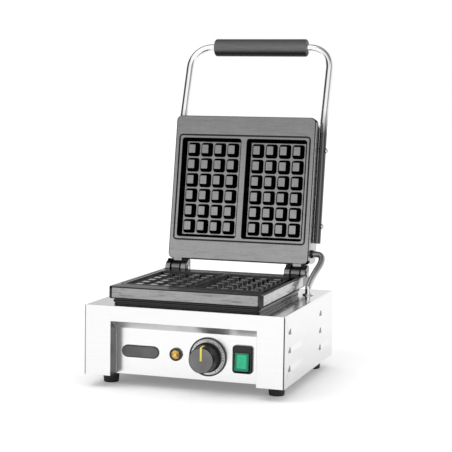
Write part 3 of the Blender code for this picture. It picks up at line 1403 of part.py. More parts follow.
def hose_route():
    """Hose's route from lid to deck through its knots, which count from the hinge's right end."""
    lid_frame = Matrix.Translation((0, HINGE_Y, HINGE_Z)) @ Matrix.Rotation(-LID_LEAN, 4, "X")
    start = lid_frame @ Vector((COVER_HALF + GAP, HOSE_NUT_DEPTH, HINGE_BACK + HOSE_NUT_S))
    end = Vector((HOSE_BASE_X, HOSE_BASE_Y, DECK + GAP))
    diameter = 2 * HOSE_RADIUS
    route = [start + Vector((diameter * share, 0, 0)) for share in HOSE_END_SHARES]
    route += [Vector((PLATE_HALF, HINGE_Y, HINGE_Z)) + Vector(knot) for knot in HOSE_KNOTS]
    route += [end + Vector((0, 0, diameter * share)) for share in reversed(HOSE_END_SHARES)]
    return route


def build_conduit(bm):
    """Ribbed hose: crest and root rings by turns."""
    points = smooth_route(hose_route(), RIB_PITCH / 2)
    radii = [HOSE_ROOT_RADIUS if i % 2 == 0 else HOSE_RADIUS for i in range(len(points))]
    add_tube(bm, points, radii, HOSE_STEPS, first_side=(0, 0, 1))


def build_conduit_bore(bm):
    """Plain bore along the same route, run past both ends."""
    points = smooth_route(hose_route(), HOSE_RADIUS)
    points = [points[0] - Vector((OVERRUN, 0, 0))] + points + [points[-1] - Vector((0, 0, OVERRUN))]
    add_tube(bm, points, [HOSE_BORE] * len(points), SMALL_STEPS, first_side=(0, 0, 1))


# The whole appliance

def make_materials():
    return {
        "steel": make_material("brushed_stainless", (0.82, 0.82, 0.82), 0.25, 1.0),
        "chrome": make_material("polished_tube", (0.85, 0.85, 0.86), 0.08, 1.0),
        "zinc": make_material("zinc_plated_steel", (0.66, 0.66, 0.64), 0.35, 1.0),
        "iron": make_material("seasoned_cast_iron", (0.13, 0.13, 0.13), 0.45, 0.6),
        "skirt": make_material("painted_steel", (0.10, 0.10, 0.10), 0.5),
        "element": make_material("heating_element", (0.18, 0.19, 0.17), 0.55, 0.8),
        "wool": make_material("mineral_wool", (0.78, 0.76, 0.68), 0.95),
        "rubber": make_material("black_rubber", (0.02, 0.02, 0.02), 0.7),
        "black": make_material("black_plastic", (0.03, 0.03, 0.03), 0.4),
        "grey": make_material("grey_plate", (0.10, 0.10, 0.10), 0.35),
        "amber": make_material("amber_lens", (0.85, 0.45, 0.08), 0.15),
        "green": make_material("green_rocker", (0.05, 0.62, 0.32), 0.3),
        "ceramic": make_material("glazed_ceramic", (0.9, 0.88, 0.83), 0.3),
    }


def main():
    clear_scene()
    mats = make_materials()
    base = make_empty("appliance", (0, -MIDDLE_Y, 0))
    make_housing(base, mats["steel"])
    make_fascia(base, mats["steel"])
    make_control_panel(base, mats["steel"])
    make_rear(base, mats["steel"], mats["zinc"])
    make_bottom(base, mats["steel"], mats["zinc"], mats["rubber"])
    make_controls(base, mats)
    make_supply(base, mats["black"], mats["ceramic"])
    face = (0, HINGE_Y, PLATE_TOP)
    level_turn = (0, 0, math.pi)
    make_plate("lower_plate", mats["iron"], base, face, level_turn, build_lugs, "lugs")
    make_heater("lower", base, face, level_turn, mats)
    make_skirt(base, mats["skirt"])
    places = [((x, y, DECK - SHEET - GAP), "down") for x, y in bolt_places()]
    make_set("plate_bolt", build_plate_bolt, mats["zinc"], base, places)
    axis = (0, HINGE_Y, HINGE_Z)
    for side in ("left", "right"):
        make_part(f"hinge_pin_{side}", build_hinge_pin, mats["zinc"], base, axis, HEADINGS[side])
    make_lid(base, mats)
    hose = make_part("conduit", build_conduit, mats["chrome"], base)
    combine(hose, "bore", build_conduit_bore)
    make_part("conduit_deck_nut", build_deck_nut, mats["zinc"], base)
    bpy.context.view_layer.update()


main()
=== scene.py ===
"""Looks of a single liege waffle maker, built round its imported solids.

Frame: +X right, +Y back, +Z up, in metres. A plate is modelled lying face up: x across, y away from
the hinge axis, z out of its cooking face. Lid pieces are modelled as if the lid stood upright on its
hinge: y back from the cooking face, z up the lid.
"""
import json
import math

import bmesh
import bpy
import numpy as np
from mathutils import Matrix, Vector
from mathutils.geometry import tessellate_polygon

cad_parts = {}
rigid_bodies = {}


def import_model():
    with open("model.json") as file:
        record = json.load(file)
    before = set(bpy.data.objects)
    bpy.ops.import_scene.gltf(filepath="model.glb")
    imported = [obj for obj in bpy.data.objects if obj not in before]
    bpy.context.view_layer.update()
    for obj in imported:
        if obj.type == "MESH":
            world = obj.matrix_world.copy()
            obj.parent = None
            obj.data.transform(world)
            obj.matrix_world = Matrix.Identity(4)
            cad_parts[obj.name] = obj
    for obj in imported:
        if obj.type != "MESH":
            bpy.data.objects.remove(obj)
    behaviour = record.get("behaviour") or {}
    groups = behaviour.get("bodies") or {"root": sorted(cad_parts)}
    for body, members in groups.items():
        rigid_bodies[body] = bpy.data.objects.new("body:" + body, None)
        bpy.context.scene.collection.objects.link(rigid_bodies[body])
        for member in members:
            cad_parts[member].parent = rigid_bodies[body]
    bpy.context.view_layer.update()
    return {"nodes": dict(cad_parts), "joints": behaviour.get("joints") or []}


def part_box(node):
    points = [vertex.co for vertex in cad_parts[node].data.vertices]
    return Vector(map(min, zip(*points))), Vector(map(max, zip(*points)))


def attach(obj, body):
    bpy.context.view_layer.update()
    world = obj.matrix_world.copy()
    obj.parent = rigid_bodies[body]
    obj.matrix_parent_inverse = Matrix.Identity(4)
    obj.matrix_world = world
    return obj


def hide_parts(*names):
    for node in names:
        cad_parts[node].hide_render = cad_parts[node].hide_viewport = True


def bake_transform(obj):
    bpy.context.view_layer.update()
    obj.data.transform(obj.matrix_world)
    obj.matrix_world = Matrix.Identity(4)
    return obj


MM = 0.001

for left_over in list(bpy.data.objects):
    bpy.data.objects.remove(left_over)
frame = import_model()
SCENE = bpy.context.scene

# Sizes, as the solids have them
GAP = 0.3 * MM
SHEET = 1.2 * MM
FOOT_HEIGHT = 17 * MM
HALF_WIDTH = 142.5 * MM
PART_MIDDLE = 177.3304 * MM
LOUVRE_LIPS = (37.5 * MM, 62.5 * MM, 87.5 * MM)
LOUVRE_SLOT = 2 * MM
PLATE_SIZE = 220 * MM
PLATE_THICKNESS = 17 * MM
PLATE_CORNER = 8 * MM
PLATE_EDGE = 1.8 * MM
HINGE_BACK = 13.4 * MM
PARTING = 0.3 * MM
LID_LEAN = math.radians(9)
CELL_COLUMNS = 4
CELL_ROWS = 6
CELL_WIDTH = 21 * MM
CELL_LENGTH = 23.6 * MM
CELL_CORNER = 4 * MM
CHANNEL = 3 * MM
PEG_FILLET = 1.3 * MM
PEG_DRAFT = 3.8 * MM
PEG_DROP = 1.5 * MM
PEG_TOP_RING = 2 * MM
MOULD_X = 51.4 * MM
MOULD_HALF_WIDTH = 47 * MM
MOULD_HALF_LENGTH = 75.8 * MM
MOULD_DEPTH = 13 * MM
MOULD_DRAFT = 4 * MM
MOULD_CORNER = 4 * MM
GROOVE_MARGIN = 4.5 * MM
GROOVE_DEPTH = 1.6 * MM
LUGS = ((77 * MM, 9 * MM), (102 * MM, 8 * MM))
LUG_RADIUS = 9.5 * MM
LUG_EDGE = 0.8 * MM
STOP_REACH = 13.6 * MM
STOP_START = 3 * MM
KNUCKLE_X = 94 * MM
KNUCKLE_HALF = 7 * MM
KNUCKLE_RADIUS = 8.5 * MM
PIN_RADIUS = 3 * MM
PIN_HEAD_RADIUS = 4.5 * MM
PIN_HEAD = 1.6 * MM
HOSE_RADIUS = 4.8 * MM
HOSE_ROOT = 4.6 * MM
HOSE_BORE = 3.2 * MM
HOSE_STEPS = 24
HOSE_SPACING = 0.2 * MM
RIB_PITCH = 2.2 * MM
HOSE_NUT = Vector((107.2, 24, 30.7)) * MM
HOSE_FOOT = np.array((119.5 * MM, 209.3 * MM - PART_MIDDLE, 114.3 * MM))
HOSE_BENDS = np.array([(122.4, 27.8, 25.8), (126.3, 24.0, 21.7), (126.6, 15.6, 14.7),
                       (123.8, 3.6, 6.2), (121.0, -7.9, -2.8), (119.7, -19.9, -11.3)]) * MM
HANDLE_HALF_SPACING = 113 * MM
HANDLE_DEPTH = 38.5 * MM
HANDLE_START = 34.4 * MM
HANDLE_RISE = 119 * MM
HANDLE_KINK = math.radians(10.5)
HANDLE_KINK_RADIUS = 30 * MM
HANDLE_CORNER_RADIUS = 33 * MM
TUBE_RADIUS = 5.5 * MM
TUBE_BORE = 4 * MM
GRIP_RADIUS = 13.5 * MM
GRIP_LENGTH = 149 * MM
GRIP_EDGE = 3 * MM

PLATE_CENTRE = HINGE_BACK + PLATE_SIZE / 2
HANDLE_TOP = HINGE_BACK + PLATE_SIZE + HANDLE_RISE * math.cos(HANDLE_KINK)
HANDLE_TOP_DEPTH = HANDLE_DEPTH + HANDLE_RISE * math.sin(HANDLE_KINK)
JOINTS = {joint["name"]: Vector(joint["pos_m"]) for joint in frame["joints"]}
HINGE = JOINTS["lid_hinge"]
LID = Matrix.Translation(HINGE) @ Matrix.Rotation(-LID_LEAN, 4, "X")
LOWER_FACE = Matrix.Translation(HINGE - Vector((0, 0, PARTING))) @ Matrix.Rotation(math.pi, 4, "Z")
UPPER_FACE = LID @ Matrix.Translation((0, PARTING, 0)) @ Matrix.Rotation(math.pi / 2, 4, "X")

MERGE = 0.001 * MM
NEAR_AXIS = 0.01
SHARP_ANGLE = 35
SHEET_ANGLE = 32
QUARTERS = np.array([[1, 1], [-1, 1], [-1, -1], [1, -1]])


# Shells: an array of points and a list of faces

def rounded_ring(half_x, half_y, radius, centre=(0, 0), steps=6, square=False):
    """Each corner's centre plus the radius times (cos a, sin a), with a over that quarter.

    A square one divides the arc by the larger of |cos a| and |sin a|, which fills the corner.
    """
    a = np.radians(np.add.outer(90 * np.arange(4), np.linspace(0, 90, steps + 1))).ravel()
    arc = np.c_[np.cos(a), np.sin(a)]
    if square:
        arc = arc / np.abs(arc).max(axis=1, keepdims=True)
    corners = np.repeat(QUARTERS * [half_x - radius, half_y - radius], steps + 1, axis=0)
    return corners + radius * arc + centre


def round_arc(radius, start, end, count):
    """Points (radius cos a, radius sin a), with a from start to end in degrees."""
    a = np.radians(np.linspace(start, end, count))
    return radius * np.c_[np.cos(a), np.sin(a)]


def at_height(outline, height):
    """Plane outline as points at one height."""
    return np.c_[outline, np.full(len(outline), height)]


def skin(rows, ends="open"):
    """Quads between closed rows; the ends are open, joined, or filled at the first, last or both."""
    rows = np.asarray(rows, float)
    count, width = rows.shape[:2]
    u = np.arange(count if ends == "joined" else count - 1)[:, None]
    v = np.arange(width)[None, :]
    u_next, v_next = (u + 1) % count, (v + 1) % width
    corners = [u * width + v, u * width + v_next, u_next * width + v_next, u_next * width + v]
    faces = np.stack(corners, axis=-1).reshape(-1, 4).tolist()
    if ends in ("first", "both"):
        faces.append(list(range(width))[::-1])
    if ends in ("last", "both"):
        faces.append(list(range((count - 1) * width, count * width)))
    return rows.reshape(-1, 3), faces


def plane_sheet(*loops):
    """Triangles that fill the plane between an outer loop and the loops inside it."""
    points = np.concatenate(loops)
    triangles = tessellate_polygon([[Vector(p) for p in loop] for loop in loops])
    return points, [list(t) for t in triangles]


def gathered(*shells):
    """Several shells as one."""
    faces, start = [], 0
    for points, some in shells:
        faces += [[i + start for i in face] for face in some]
        start += len(points)
    return np.concatenate([points for points, _ in shells]), faces


def strewn(shell, offsets):
    """The same shell at every offset."""
    points, faces = shell
    copies = (points[None] + np.asarray(offsets)[:, None]).reshape(-1, 3)
    return copies, [[i + n * len(points) for i in face] for n in range(len(offsets)) for face in faces]


def moved(shell, matrix):
    """Shell carried by a 4 x 4 matrix."""
    carry = np.array(matrix, float)
    return shell[0] @ carry[:3, :3].T + carry[:3, 3], shell[1]


def facing(direction, centre):
    """Matrix that takes local Z to a direction and the origin to a centre."""
    turn = Vector((0, 0, 1)).rotation_difference(Vector(direction))
    return Matrix.Translation(centre) @ turn.to_matrix().to_4x4()


def unit(vectors):
    """Vectors of length one."""
    return vectors / np.linalg.norm(vectors, axis=-1, keepdims=True)


def eased(corners, radii, steps=4):
    """Path whose corners become arcs: each arc touches both legs at radius / tan(half the angle)."""
    corners = np.asarray(corners, float)
    points = [corners[:1]]
    for before, corner, after, radius in zip(corners, corners[1:], corners[2:], radii):
        back, ahead = unit(before - corner), unit(after - corner)
        half = math.acos(np.clip(back @ ahead, -1, 1)) / 2
        middle = unit(back + ahead)
        centre = corner + middle * radius / math.sin(half)
        side = unit(ahead - back)
        a = np.linspace(half - math.pi / 2, math.pi / 2 - half, steps + 1)[:, None]
        points.append(centre + radius * (np.sin(a) * side - np.cos(a) * middle))
    points.append(corners[-1:])
    return np.concatenate(points)


def eased_mm(corners, radii, steps=4):
    """Such a path from corners and radii in mm."""
    return eased(corners, radii, steps) * MM


def turned(profile, steps, place, ends="open"):
    """(radius, height) points turned about local Z: (r cos a, r sin a, h)."""
    a = np.linspace(0, 2 * math.pi, steps, endpoint=False)
    x, y = np.outer(profile[:, 0], np.cos(a)), np.outer(profile[:, 0], np.sin(a))
    rows = np.stack([x, y, np.repeat(profile[:, 1:2], steps, axis=1)], axis=-1)
    return moved(skin(rows, ends), place)


def six_sided(sections, steps):
    """Rows for (radius, height, cut) sections in mm: hexagons where cut is 1, and else circles.

    A hexagon's reach is the radius times cos 30 / cos(a from the nearest flat's middle).
    """
    a = np.linspace(0, 2 * math.pi, steps, endpoint=False)
    hexagon = math.cos(math.pi / 6) / np.cos((a + math.pi / 6) % (math.pi / 3) - math.pi / 6)
    rows = []
    for radius, height, cut in sections:
        reach = radius * MM * (hexagon if cut else np.ones(steps))
        rows.append(at_height(np.c_[reach * np.cos(a), reach * np.sin(a)], height * MM))
    return rows


def tube_rows(path, radius, across, steps=32):
    """Round section of a radius carried along a path; across is never along the path.

    A section's sides are the path's direction crossed with across, and that crossed with the direction.
    The radius is one number or a grid of one for each point of each section.
    """
    ahead = unit(np.gradient(path, axis=0))
    side = unit(np.cross(ahead, across))
    top = np.cross(side, ahead)
    a = np.linspace(0, 2 * math.pi, steps, endpoint=False)
    spread = np.cos(a)[:, None] * side[:, None] + np.sin(a)[:, None] * top[:, None]
    return path[:, None] + np.broadcast_to(radius, spread.shape[:2])[..., None] * spread


def shrunk(outline, distance):
    """Closed outline, anticlockwise, with each corner moved in along its two edges' mean normal."""
    edge = np.roll(outline, -1, axis=0) - outline
    normal = unit(np.c_[-edge[:, 1], edge[:, 0]])
    before = np.roll(normal, 1, axis=0)
    return outline + distance * (normal + before) / (1 + (normal * before).sum(1, keepdims=True))


def slab_along_x(outline, low, high, edge):
    """Side view, as (y, z), drawn out from low to high in x, with its edges eased."""
    inner = shrunk(outline, edge)
    rows = []
    for x, side in ((low, inner), (low + edge, outline), (high - edge, outline), (high, inner)):
        rows.append(np.c_[np.full(len(side), x), side])
    return skin(rows, "both")


def make_piece(name, shell, finish, body, replaced=(), smooth=SHARP_ANGLE):
    """Object from a shell: its seams merged, its faces out, smooth but for its sharp edges."""
    points, faces = shell
    mesh = bpy.data.meshes.new(name)
    mesh.from_pydata(points.tolist(), [], faces)
    bm = bmesh.new()
    bm.from_mesh(mesh)
    bmesh.ops.remove_doubles(bm, verts=bm.verts, dist=MERGE)
    bmesh.ops.dissolve_degenerate(bm, edges=bm.edges, dist=MERGE)
    bmesh.ops.recalc_face_normals(bm, faces=bm.faces)
    bm.to_mesh(mesh)
    bm.free()
    return place_piece(name, mesh, finish, body, replaced, smooth)


def new_object(name, data):
    """Object in the scene."""
    obj = bpy.data.objects.new(name, data)
    SCENE.collection.objects.link(obj)
    return obj


def place_piece(name, mesh, finish, body, replaced, smooth):
    """Object of a mesh, with its finish, its body and the solids that it stands for."""
    mesh.shade_smooth()
    mesh.set_sharp_from_angle(angle=math.radians(smooth))
    mesh.materials.clear()
    mesh.materials.append(finish)
    obj = new_object(name, mesh)
    if body:
        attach(obj, body)
    if replaced:
        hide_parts(*replaced)
    return obj


def faces_of(mesh):
    """Normals and centres of a mesh's faces."""
    found = []
    for key in ("normal", "center"):
        values = np.empty(len(mesh.polygons) * 3)
        mesh.polygons.foreach_get(key, values)
        found.append(values.reshape(-1, 3))
    return found


def set_dark(mesh, shares):
    """Each face's share of painted shade, for the finishes that read it."""
    mesh.attributes.new("dark", "FLOAT", "FACE").data.foreach_set("value", shares)


def flatter_louvres(points):
    """Louvres stand out half as far, and the slot under each lip shrinks to an eighth."""
    near = 0.1 * MM
    wall = np.abs(np.abs(points[:, 0]) - HALF_WIDTH + SHEET / 2) < SHEET / 2 + near
    for lip in LOUVRE_LIPS:
        under = wall & (points[:, 2] > lip - LOUVRE_SLOT - near) & (points[:, 2] < lip)
        points[under, 2] = lip - (lip - points[under, 2]) / 8
    over = np.maximum(np.abs(points[:, 0]) - HALF_WIDTH, 0)
    points[:, 0] -= np.sign(points[:, 0]) * over / 2
    return points


def eased_copy(node, finish, body, edge, shading=None, reshape=None):
    """Solid's own mesh, merged, with its flat faces whole again and its edges eased if edge isn't 0.

    Shading gives each face's share of painted shade from the faces' normals and centres, and
    reshape takes the points' places to new ones.
    """
    mesh = frame["nodes"][node].data.copy()
    if reshape:
        points = np.empty(len(mesh.vertices) * 3)
        mesh.vertices.foreach_get("co", points)
        mesh.vertices.foreach_set("co", reshape(points.reshape(-1, 3)).ravel())
    bm = bmesh.new()
    bm.from_mesh(mesh)
    bmesh.ops.remove_doubles(bm, verts=bm.verts, dist=MERGE)
    bmesh.ops.dissolve_limit(bm, angle_limit=math.radians(0.3), verts=bm.verts, edges=bm.edges)
    for edge_found in bm.edges:
        edge_found.smooth = True
    bm.to_mesh(mesh)
    bm.free()
    obj = place_piece(node + "_finished", mesh, finish, body, (node,), SHEET_ANGLE)
    if shading:
        set_dark(mesh, shading(*faces_of(mesh)))
    if edge:
        bevel = obj.modifiers.new("eased", "BEVEL")
        bevel.width = edge
        bevel.segments = 2
        bevel.limit_method = "ANGLE"
        bevel.angle_limit = math.radians(SHEET_ANGLE)
    weighted = obj.modifiers.new("even", "WEIGHTED_NORMAL")
    weighted.weight = 100
    weighted.keep_sharp = True


# Finishes


def new_finish(name, slot, **sockets):
    """Principled finish whose even values sit on the shader's own sockets."""
    look = bpy.data.materials.new(name)
    look.use_nodes = True
    shader = look.node_tree.nodes["Principled BSDF"]
    for socket, value in sockets.items():
        shader.inputs[socket.replace("_", " ")].default_value = value
    return look


def add_node(look, kind, settings=(), out=0, **inputs):
    """Output of a new node; its inputs, by name or _number, are values or other outputs."""
    tree = look.node_tree
    node = tree.nodes.new("ShaderNode" + kind)
    for setting, value in dict(settings).items():
        setattr(node, setting, value)
    for key, value in inputs.items():
        socket = node.inputs[int(key[1:]) if key[1:].isdigit() else key.replace("_", " ")]
        if isinstance(value, bpy.types.NodeSocket):
            tree.links.new(value, socket)
        else:
            socket.default_value = value
    return node.outputs[out]


def grain(look, size, stretch=(1, 1, 1), lean=0.0, detail=3.0, roughness=0.55):
    """Noise on the piece's own coordinates: grains of a size in mm, drawn out by a stretch."""
    place = add_node(look, "TexCoord", out="Object")
    scale = [1 / (size * MM * share) for share in stretch]
    turn = add_node(look, "Mapping", Vector=place, Rotation=(lean, 0, 0), Scale=scale)
    return add_node(look, "TexNoise", Vector=turn, Scale=1.0, Detail=detail, Roughness=roughness)


def ranged(look, value, low, high, start=0.3, end=0.7):
    """Pattern taken from start..end onto low..high."""
    return add_node(look, "MapRange", Value=value, From_Min=start, From_Max=end, To_Min=low,
                    To_Max=high)


def blended(look, factor, first, second):
    """Two colours mixed by a factor."""
    return add_node(look, "Mix", {"data_type": "RGBA"}, 2, _0=factor, _6=first, _7=second)


def height_of(look):
    """Height of a point, on the piece's own coordinates."""
    place = add_node(look, "TexCoord", out="Object")
    return add_node(look, "SeparateXYZ", out=2, Vector=place)


def dark_share(look):
    """Share of painted shade on the face, where the piece has one."""
    return add_node(look, "Attribute", {"attribute_name": "dark"}, "Fac")


def feed(look, socket, value):
    """Links a node's output to a socket of the shader."""
    shader = look.node_tree.nodes["Principled BSDF"]
    look.node_tree.links.new(value, shader.inputs[socket])


def dress(look, base, roughness, *bumps):
    """Feeds colour, roughness and bumps, each a pattern, its height in mm and its strength."""
    feed(look, "Base Color", base)
    feed(look, "Roughness", roughness)
    under = {}
    for pattern, height, strength in bumps:
        normal = add_node(look, "Bump", Height=pattern, Distance=height * MM, Strength=strength,
                          **under)
        under = {"Normal": normal}
    feed(look, "Normal", normal)


def grey(value):
    """Neutral colour."""
    return (value, value, value, 1)


def brushed_steel(name, along, tone, gloss, lean=0.0, shaded=False):
    """Stainless sheet with fine scratches along one axis, a faint cloudiness and perhaps painted shade
    on faces marked dark.
    """
    look = new_finish(name, "brushed_stainless", Metallic=1.0)
    stretch = [90 if axis == along else 1 for axis in "xyz"]
    fine = grain(look, 0.35, stretch, lean, 2)
    broad = grain(look, 3.5, stretch, lean, 2)
    cloud = grain(look, 60, detail=2)
    streak = ranged(look, fine, 0, 1)
    bright = blended(look, streak, grey(tone * 0.97), grey(tone * 1.02))
    base = blended(look, ranged(look, broad, 0, 0.35), bright, grey(tone * 0.96))
    # Painted shade: faces marked dark go near black.
    if shaded:
        base = blended(look, dark_share(look), base, grey(0.02))
    dress(look, base, ranged(look, cloud, gloss, gloss + 0.04), (fine, 0.01, 0.15))
    return look


def cast_iron(name, tone, roughness, wear, rise=0.0):
    """Seasoned cast plate: fine grain, worn streaks and pits, and painted shade that turns its faces
    marked dark near black.

    It darkens up the lid by the share rise, a painted shade, and its faces marked dark mirror little at
    a low angle too.
    """
    look = new_finish(name, "seasoned_cast_iron", Metallic=1.0)
    above = ranged(look, height_of(look), 0, rise, HINGE.z, HINGE.z + PLATE_SIZE)
    sand = grain(look, 0.7, detail=4, roughness=0.65)
    mottle = grain(look, 6, detail=5, roughness=0.6)
    broad = grain(look, 40, detail=2)
    streaks = grain(look, 3, (9, 9, 0.8), detail=5, roughness=0.65)
    pits = grain(look, 2.2, (1.5, 1.5, 1), detail=2)
    base = blended(look, ranged(look, mottle, 0, 1), grey(tone * 0.9), grey(tone * 1.08))
    # Painted shade: faces marked dark go near black, and the lid darkens towards its top.
    painted_shade = ranged(look, dark_share(look), 0, 0.95, 0, 1)
    for share, shade in (
        (ranged(look, broad, 0, 0.5), tone * 0.86),
        (ranged(look, sand, 0, 0.45, 0.58, 0.76), tone * 0.4),
        (ranged(look, streaks, 0, wear, 0.5, 0.66), tone * 0.35),
        (ranged(look, pits, 0, wear, 0.68, 0.74), tone * 0.12),
        (above, 0.02),
        (painted_shade, 0.008),
    ):
        base = blended(look, share, base, grey(shade))
    feed(look, "Specular Tint", blended(look, painted_shade, grey(1), grey(0.1)))
    dress(look, base, ranged(look, mottle, roughness - 0.04, roughness + 0.06),
          (sand, 0.06, 0.25), (mottle, 0.12, 0.1))
    return look


def grained(name, slot, colour, roughness, size, height, **sockets):
    """Even material with a fine texture, whose size and height are in mm."""
    look = new_finish(name, slot, **sockets)
    fine = grain(look, size, detail=2)
    broad = grain(look, 20, detail=2)
    dark, light = [(*[c * share for c in colour[:3]], 1) for share in (0.85, 1.15)]
    base = blended(look, ranged(look, broad, 0, 1), dark, light)
    even = ranged(look, fine, roughness - 0.05, roughness + 0.05)
    dress(look, base, even, (fine, height, 0.4))
    return look


def grip_moulding():
    """Black moulding with a painted highlight: its upper half is lighter, with faint streaks along it,
    most just above the axis and less towards the top.
    """
    look = grained("grip_moulding", "black_plastic", grey(0.01), 0.4, 0.35, 0.03,
                   Specular_IOR_Level=0.12)
    plain = look.node_tree.nodes["Principled BSDF"].inputs["Base Color"].links[0].from_socket
    height = height_of(look)
    axis = (LID @ Vector((0, HANDLE_TOP_DEPTH, HANDLE_TOP))).z
    # Painted highlight: a lighter band from just below the axis, dimmer towards the top.
    lit = ranged(look, height, 0, 1, axis - 0.62 * GRIP_RADIUS, axis - 0.2 * GRIP_RADIUS)
    under_top = ranged(look, height, 1, 0.35, axis + 0.1 * GRIP_RADIUS, axis + 0.9 * GRIP_RADIUS)
    streaks = grain(look, 1.2, (40, 1, 1))
    light = blended(look, ranged(look, streaks, 0, 1), grey(0.13), grey(0.19))
    light = blended(look, under_top, grey(0), light)
    feed(look, "Base Color", blended(look, lit, plain, light))
    return look


def plain_metal(name, slot, tone, roughness, shaded_span=None):
    """Plated or polished metal, with an optional painted shade given by a clear height, a shaded height
    and a share: past the shaded height the metal darkens to that share of its tone.
    """
    look = new_finish(name, slot, Metallic=1.0)
    cloud = grain(look, 2)
    fine = grain(look, 0.3, detail=2)
    base = blended(look, ranged(look, cloud, 0, 1), grey(tone * 0.94), grey(tone))
    if shaded_span:
        # Painted shade: the metal darkens from the clear height to the shaded height.
        clear_at, shaded_at, share = shaded_span
        toward = ranged(look, height_of(look), 0, 1, clear_at, shaded_at)
        base = blended(look, toward, base, grey(tone * share))
    cloudy = ranged(look, cloud, roughness * 0.85, roughness * 1.15)
    dress(look, base, cloudy, (fine, 0.01, 0.15))
    return look


steel_x = brushed_steel("brushed_steel_across", "x", 0.96, 0.2)
steel_y = brushed_steel("brushed_steel_back", "y", 0.89, 0.13, shaded=True)
steel_lid = brushed_steel("brushed_steel_lid", "z", 0.5, 0.25, LID_LEAN)
fascia_steel = brushed_steel("brushed_steel_fascia", "x", 0.96, 0.38, shaded=True)
# Bottom cover made dark so that it sends less light under the body: painted shade that deepens the
# floor's shadow there.
under_shade_steel = brushed_steel("bottom_steel_darkened_for_shade", "x", 0.2, 0.4)
# Painted reflection: the handle's tube darkens low down on its legs.
chrome = plain_metal("polished_tube", "polished_tube", 0.93, 0.07, shaded_span=(0.382, 0.347, 0.14))
# Painted shade: the hose darkens towards the lid's nut.
hose_metal = plain_metal("hose_steel", "polished_tube", 0.86, 0.1, shaded_span=(0.12, 0.15, 0.42))
zinc = plain_metal("zinc_plate", "zinc_plated_steel", 0.72, 0.3)
dark_zinc = plain_metal("dark_zinc", "zinc_plated_steel", 0.16, 0.25)
heater = plain_metal("element_sheath", "heating_element", 0.2, 0.5)
upper_iron = cast_iron("seasoned_upper_plate", 0.37, 0.27, 0.25, 0.36)
lower_iron = cast_iron("seasoned_lower_plate", 0.52, 0.13, 0.6)
grip_black = grip_moulding()
dial_metal = grained("dial_aluminium", "brushed_stainless", grey(0.97), 0.35, 0.3, 0.02, Metallic=0.35)
skirt_paint = grained("skirt_paint", "painted_steel", grey(0.006), 0.2, 0.5, 0.01)
rubber = grained("foot_rubber", "black_rubber", grey(0.018), 0.6, 0.4, 0.05)
black = grained("black_moulding", "black_plastic", grey(0.006), 0.28, 0.3, 0.02)
lamp_black = grained("lamp_ring", "black_plastic", grey(0.035), 0.3, 0.3, 0.01)
knob_face = grained("knob_face", "black_plastic", grey(0.16), 0.5, 0.3, 0.03)
knob_black = grained("knob_moulding", "black_plastic", grey(0.004), 0.35, 0.3, 0.01,
                     Specular_IOR_Level=0.25)
marks_black = grained("dial_marks", "black_plastic", grey(0.04), 0.5, 0.3, 0.01)
yellow = grained("pointer_yellow", "black_plastic", (0.9, 0.75, 0.12), 0.45, 0.3, 0.01)
plate_grey = grained("bare_plate", "grey_plate", (0.12, 0.12, 0.123), 0.45, 0.25, 0.01)
border_grey = grained("plate_border", "grey_plate", grey(0.15), 0.4, 0.25, 0.01)
wool = grained("mineral_wool", "mineral_wool", (0.6, 0.57, 0.45), 0.95, 1.5, 0.6)
glaze = grained("white_glaze", "glazed_ceramic", (0.8, 0.78, 0.72), 0.2, 2, 0.02)
green = grained("rocker_green", "green_rocker", (0.02, 0.6, 0.31), 0.25, 0.3, 0.005)
green_dark = grained("rocker_edge_green", "green_rocker", (0.005, 0.24, 0.12), 0.3, 0.3, 0.005)
amber = grained("lens_amber", "amber_lens", (0.95, 0.58, 0.14), 0.12, 0.8, 0.01, Metallic=0.6)


# Waffle plates, lying face up

def ring_rows(half_x, half_y, radius, profile, centre=(0, 0), steps=6):
    """Rounded rectangles, one for each (growth, height) of a profile."""
    rows = []
    for growth, height in profile:
        corner = max(radius + growth, 0.3 * MM)
        ring = rounded_ring(half_x + growth, half_y + growth, corner, centre, steps)
        rows.append(at_height(ring, height))
    return rows


def waffle_cell():
    """Floor of one cell and its peg: rings from the cell's square border, up the slope, to the top."""
    half = np.array([CELL_WIDTH, CELL_LENGTH]) / 2
    foot = half - CHANNEL / 2
    low, high = -MOULD_DEPTH, -PEG_DROP
    insets = (-PEG_FILLET, 0, PEG_DRAFT, PEG_DRAFT + PEG_TOP_RING)
    profile = eased(list(zip(insets, (low, low, high, high))), (0.9 * MM, 0.6 * MM), 3)
    radii = np.interp(profile[:, 0], insets, np.array((4.3, 3.3, 1.1, 0.4)) * MM)
    rows = [at_height(rounded_ring(*half, CELL_CORNER, steps=4, square=True), low)]
    for (inset, height), radius in zip(profile, radii):
        rows.append(at_height(rounded_ring(*(foot - inset), radius, steps=4), height))
    return skin(rows, "last")


def block_border():
    """Border of a mould's block of cells, with every point that the cells have on it."""
    half = np.array([CELL_COLUMNS * CELL_WIDTH, CELL_ROWS * CELL_LENGTH]) / 2
    cell = rounded_ring(CELL_WIDTH / 2, CELL_LENGTH / 2, CELL_CORNER, steps=4, square=True)
    points = (cell[None] + cell_places()[:, None, :2]).reshape(-1, 2)
    on_border = (np.abs(np.abs(points) - half) < 0.01 * MM).any(axis=1)
    points = np.unique(np.round(points[on_border], 7), axis=0)
    return points[np.argsort(np.arctan2(points[:, 1], points[:, 0]))]


def cell_places():
    """Cells' middles from the mould's middle."""
    columns = (np.arange(CELL_COLUMNS) - (CELL_COLUMNS - 1) / 2) * CELL_WIDTH
    rows = (np.arange(CELL_ROWS) - (CELL_ROWS - 1) / 2) * CELL_LENGTH
    x, y = np.meshgrid(columns, rows)
    return np.c_[x.ravel(), y.ravel(), np.zeros(x.size)]


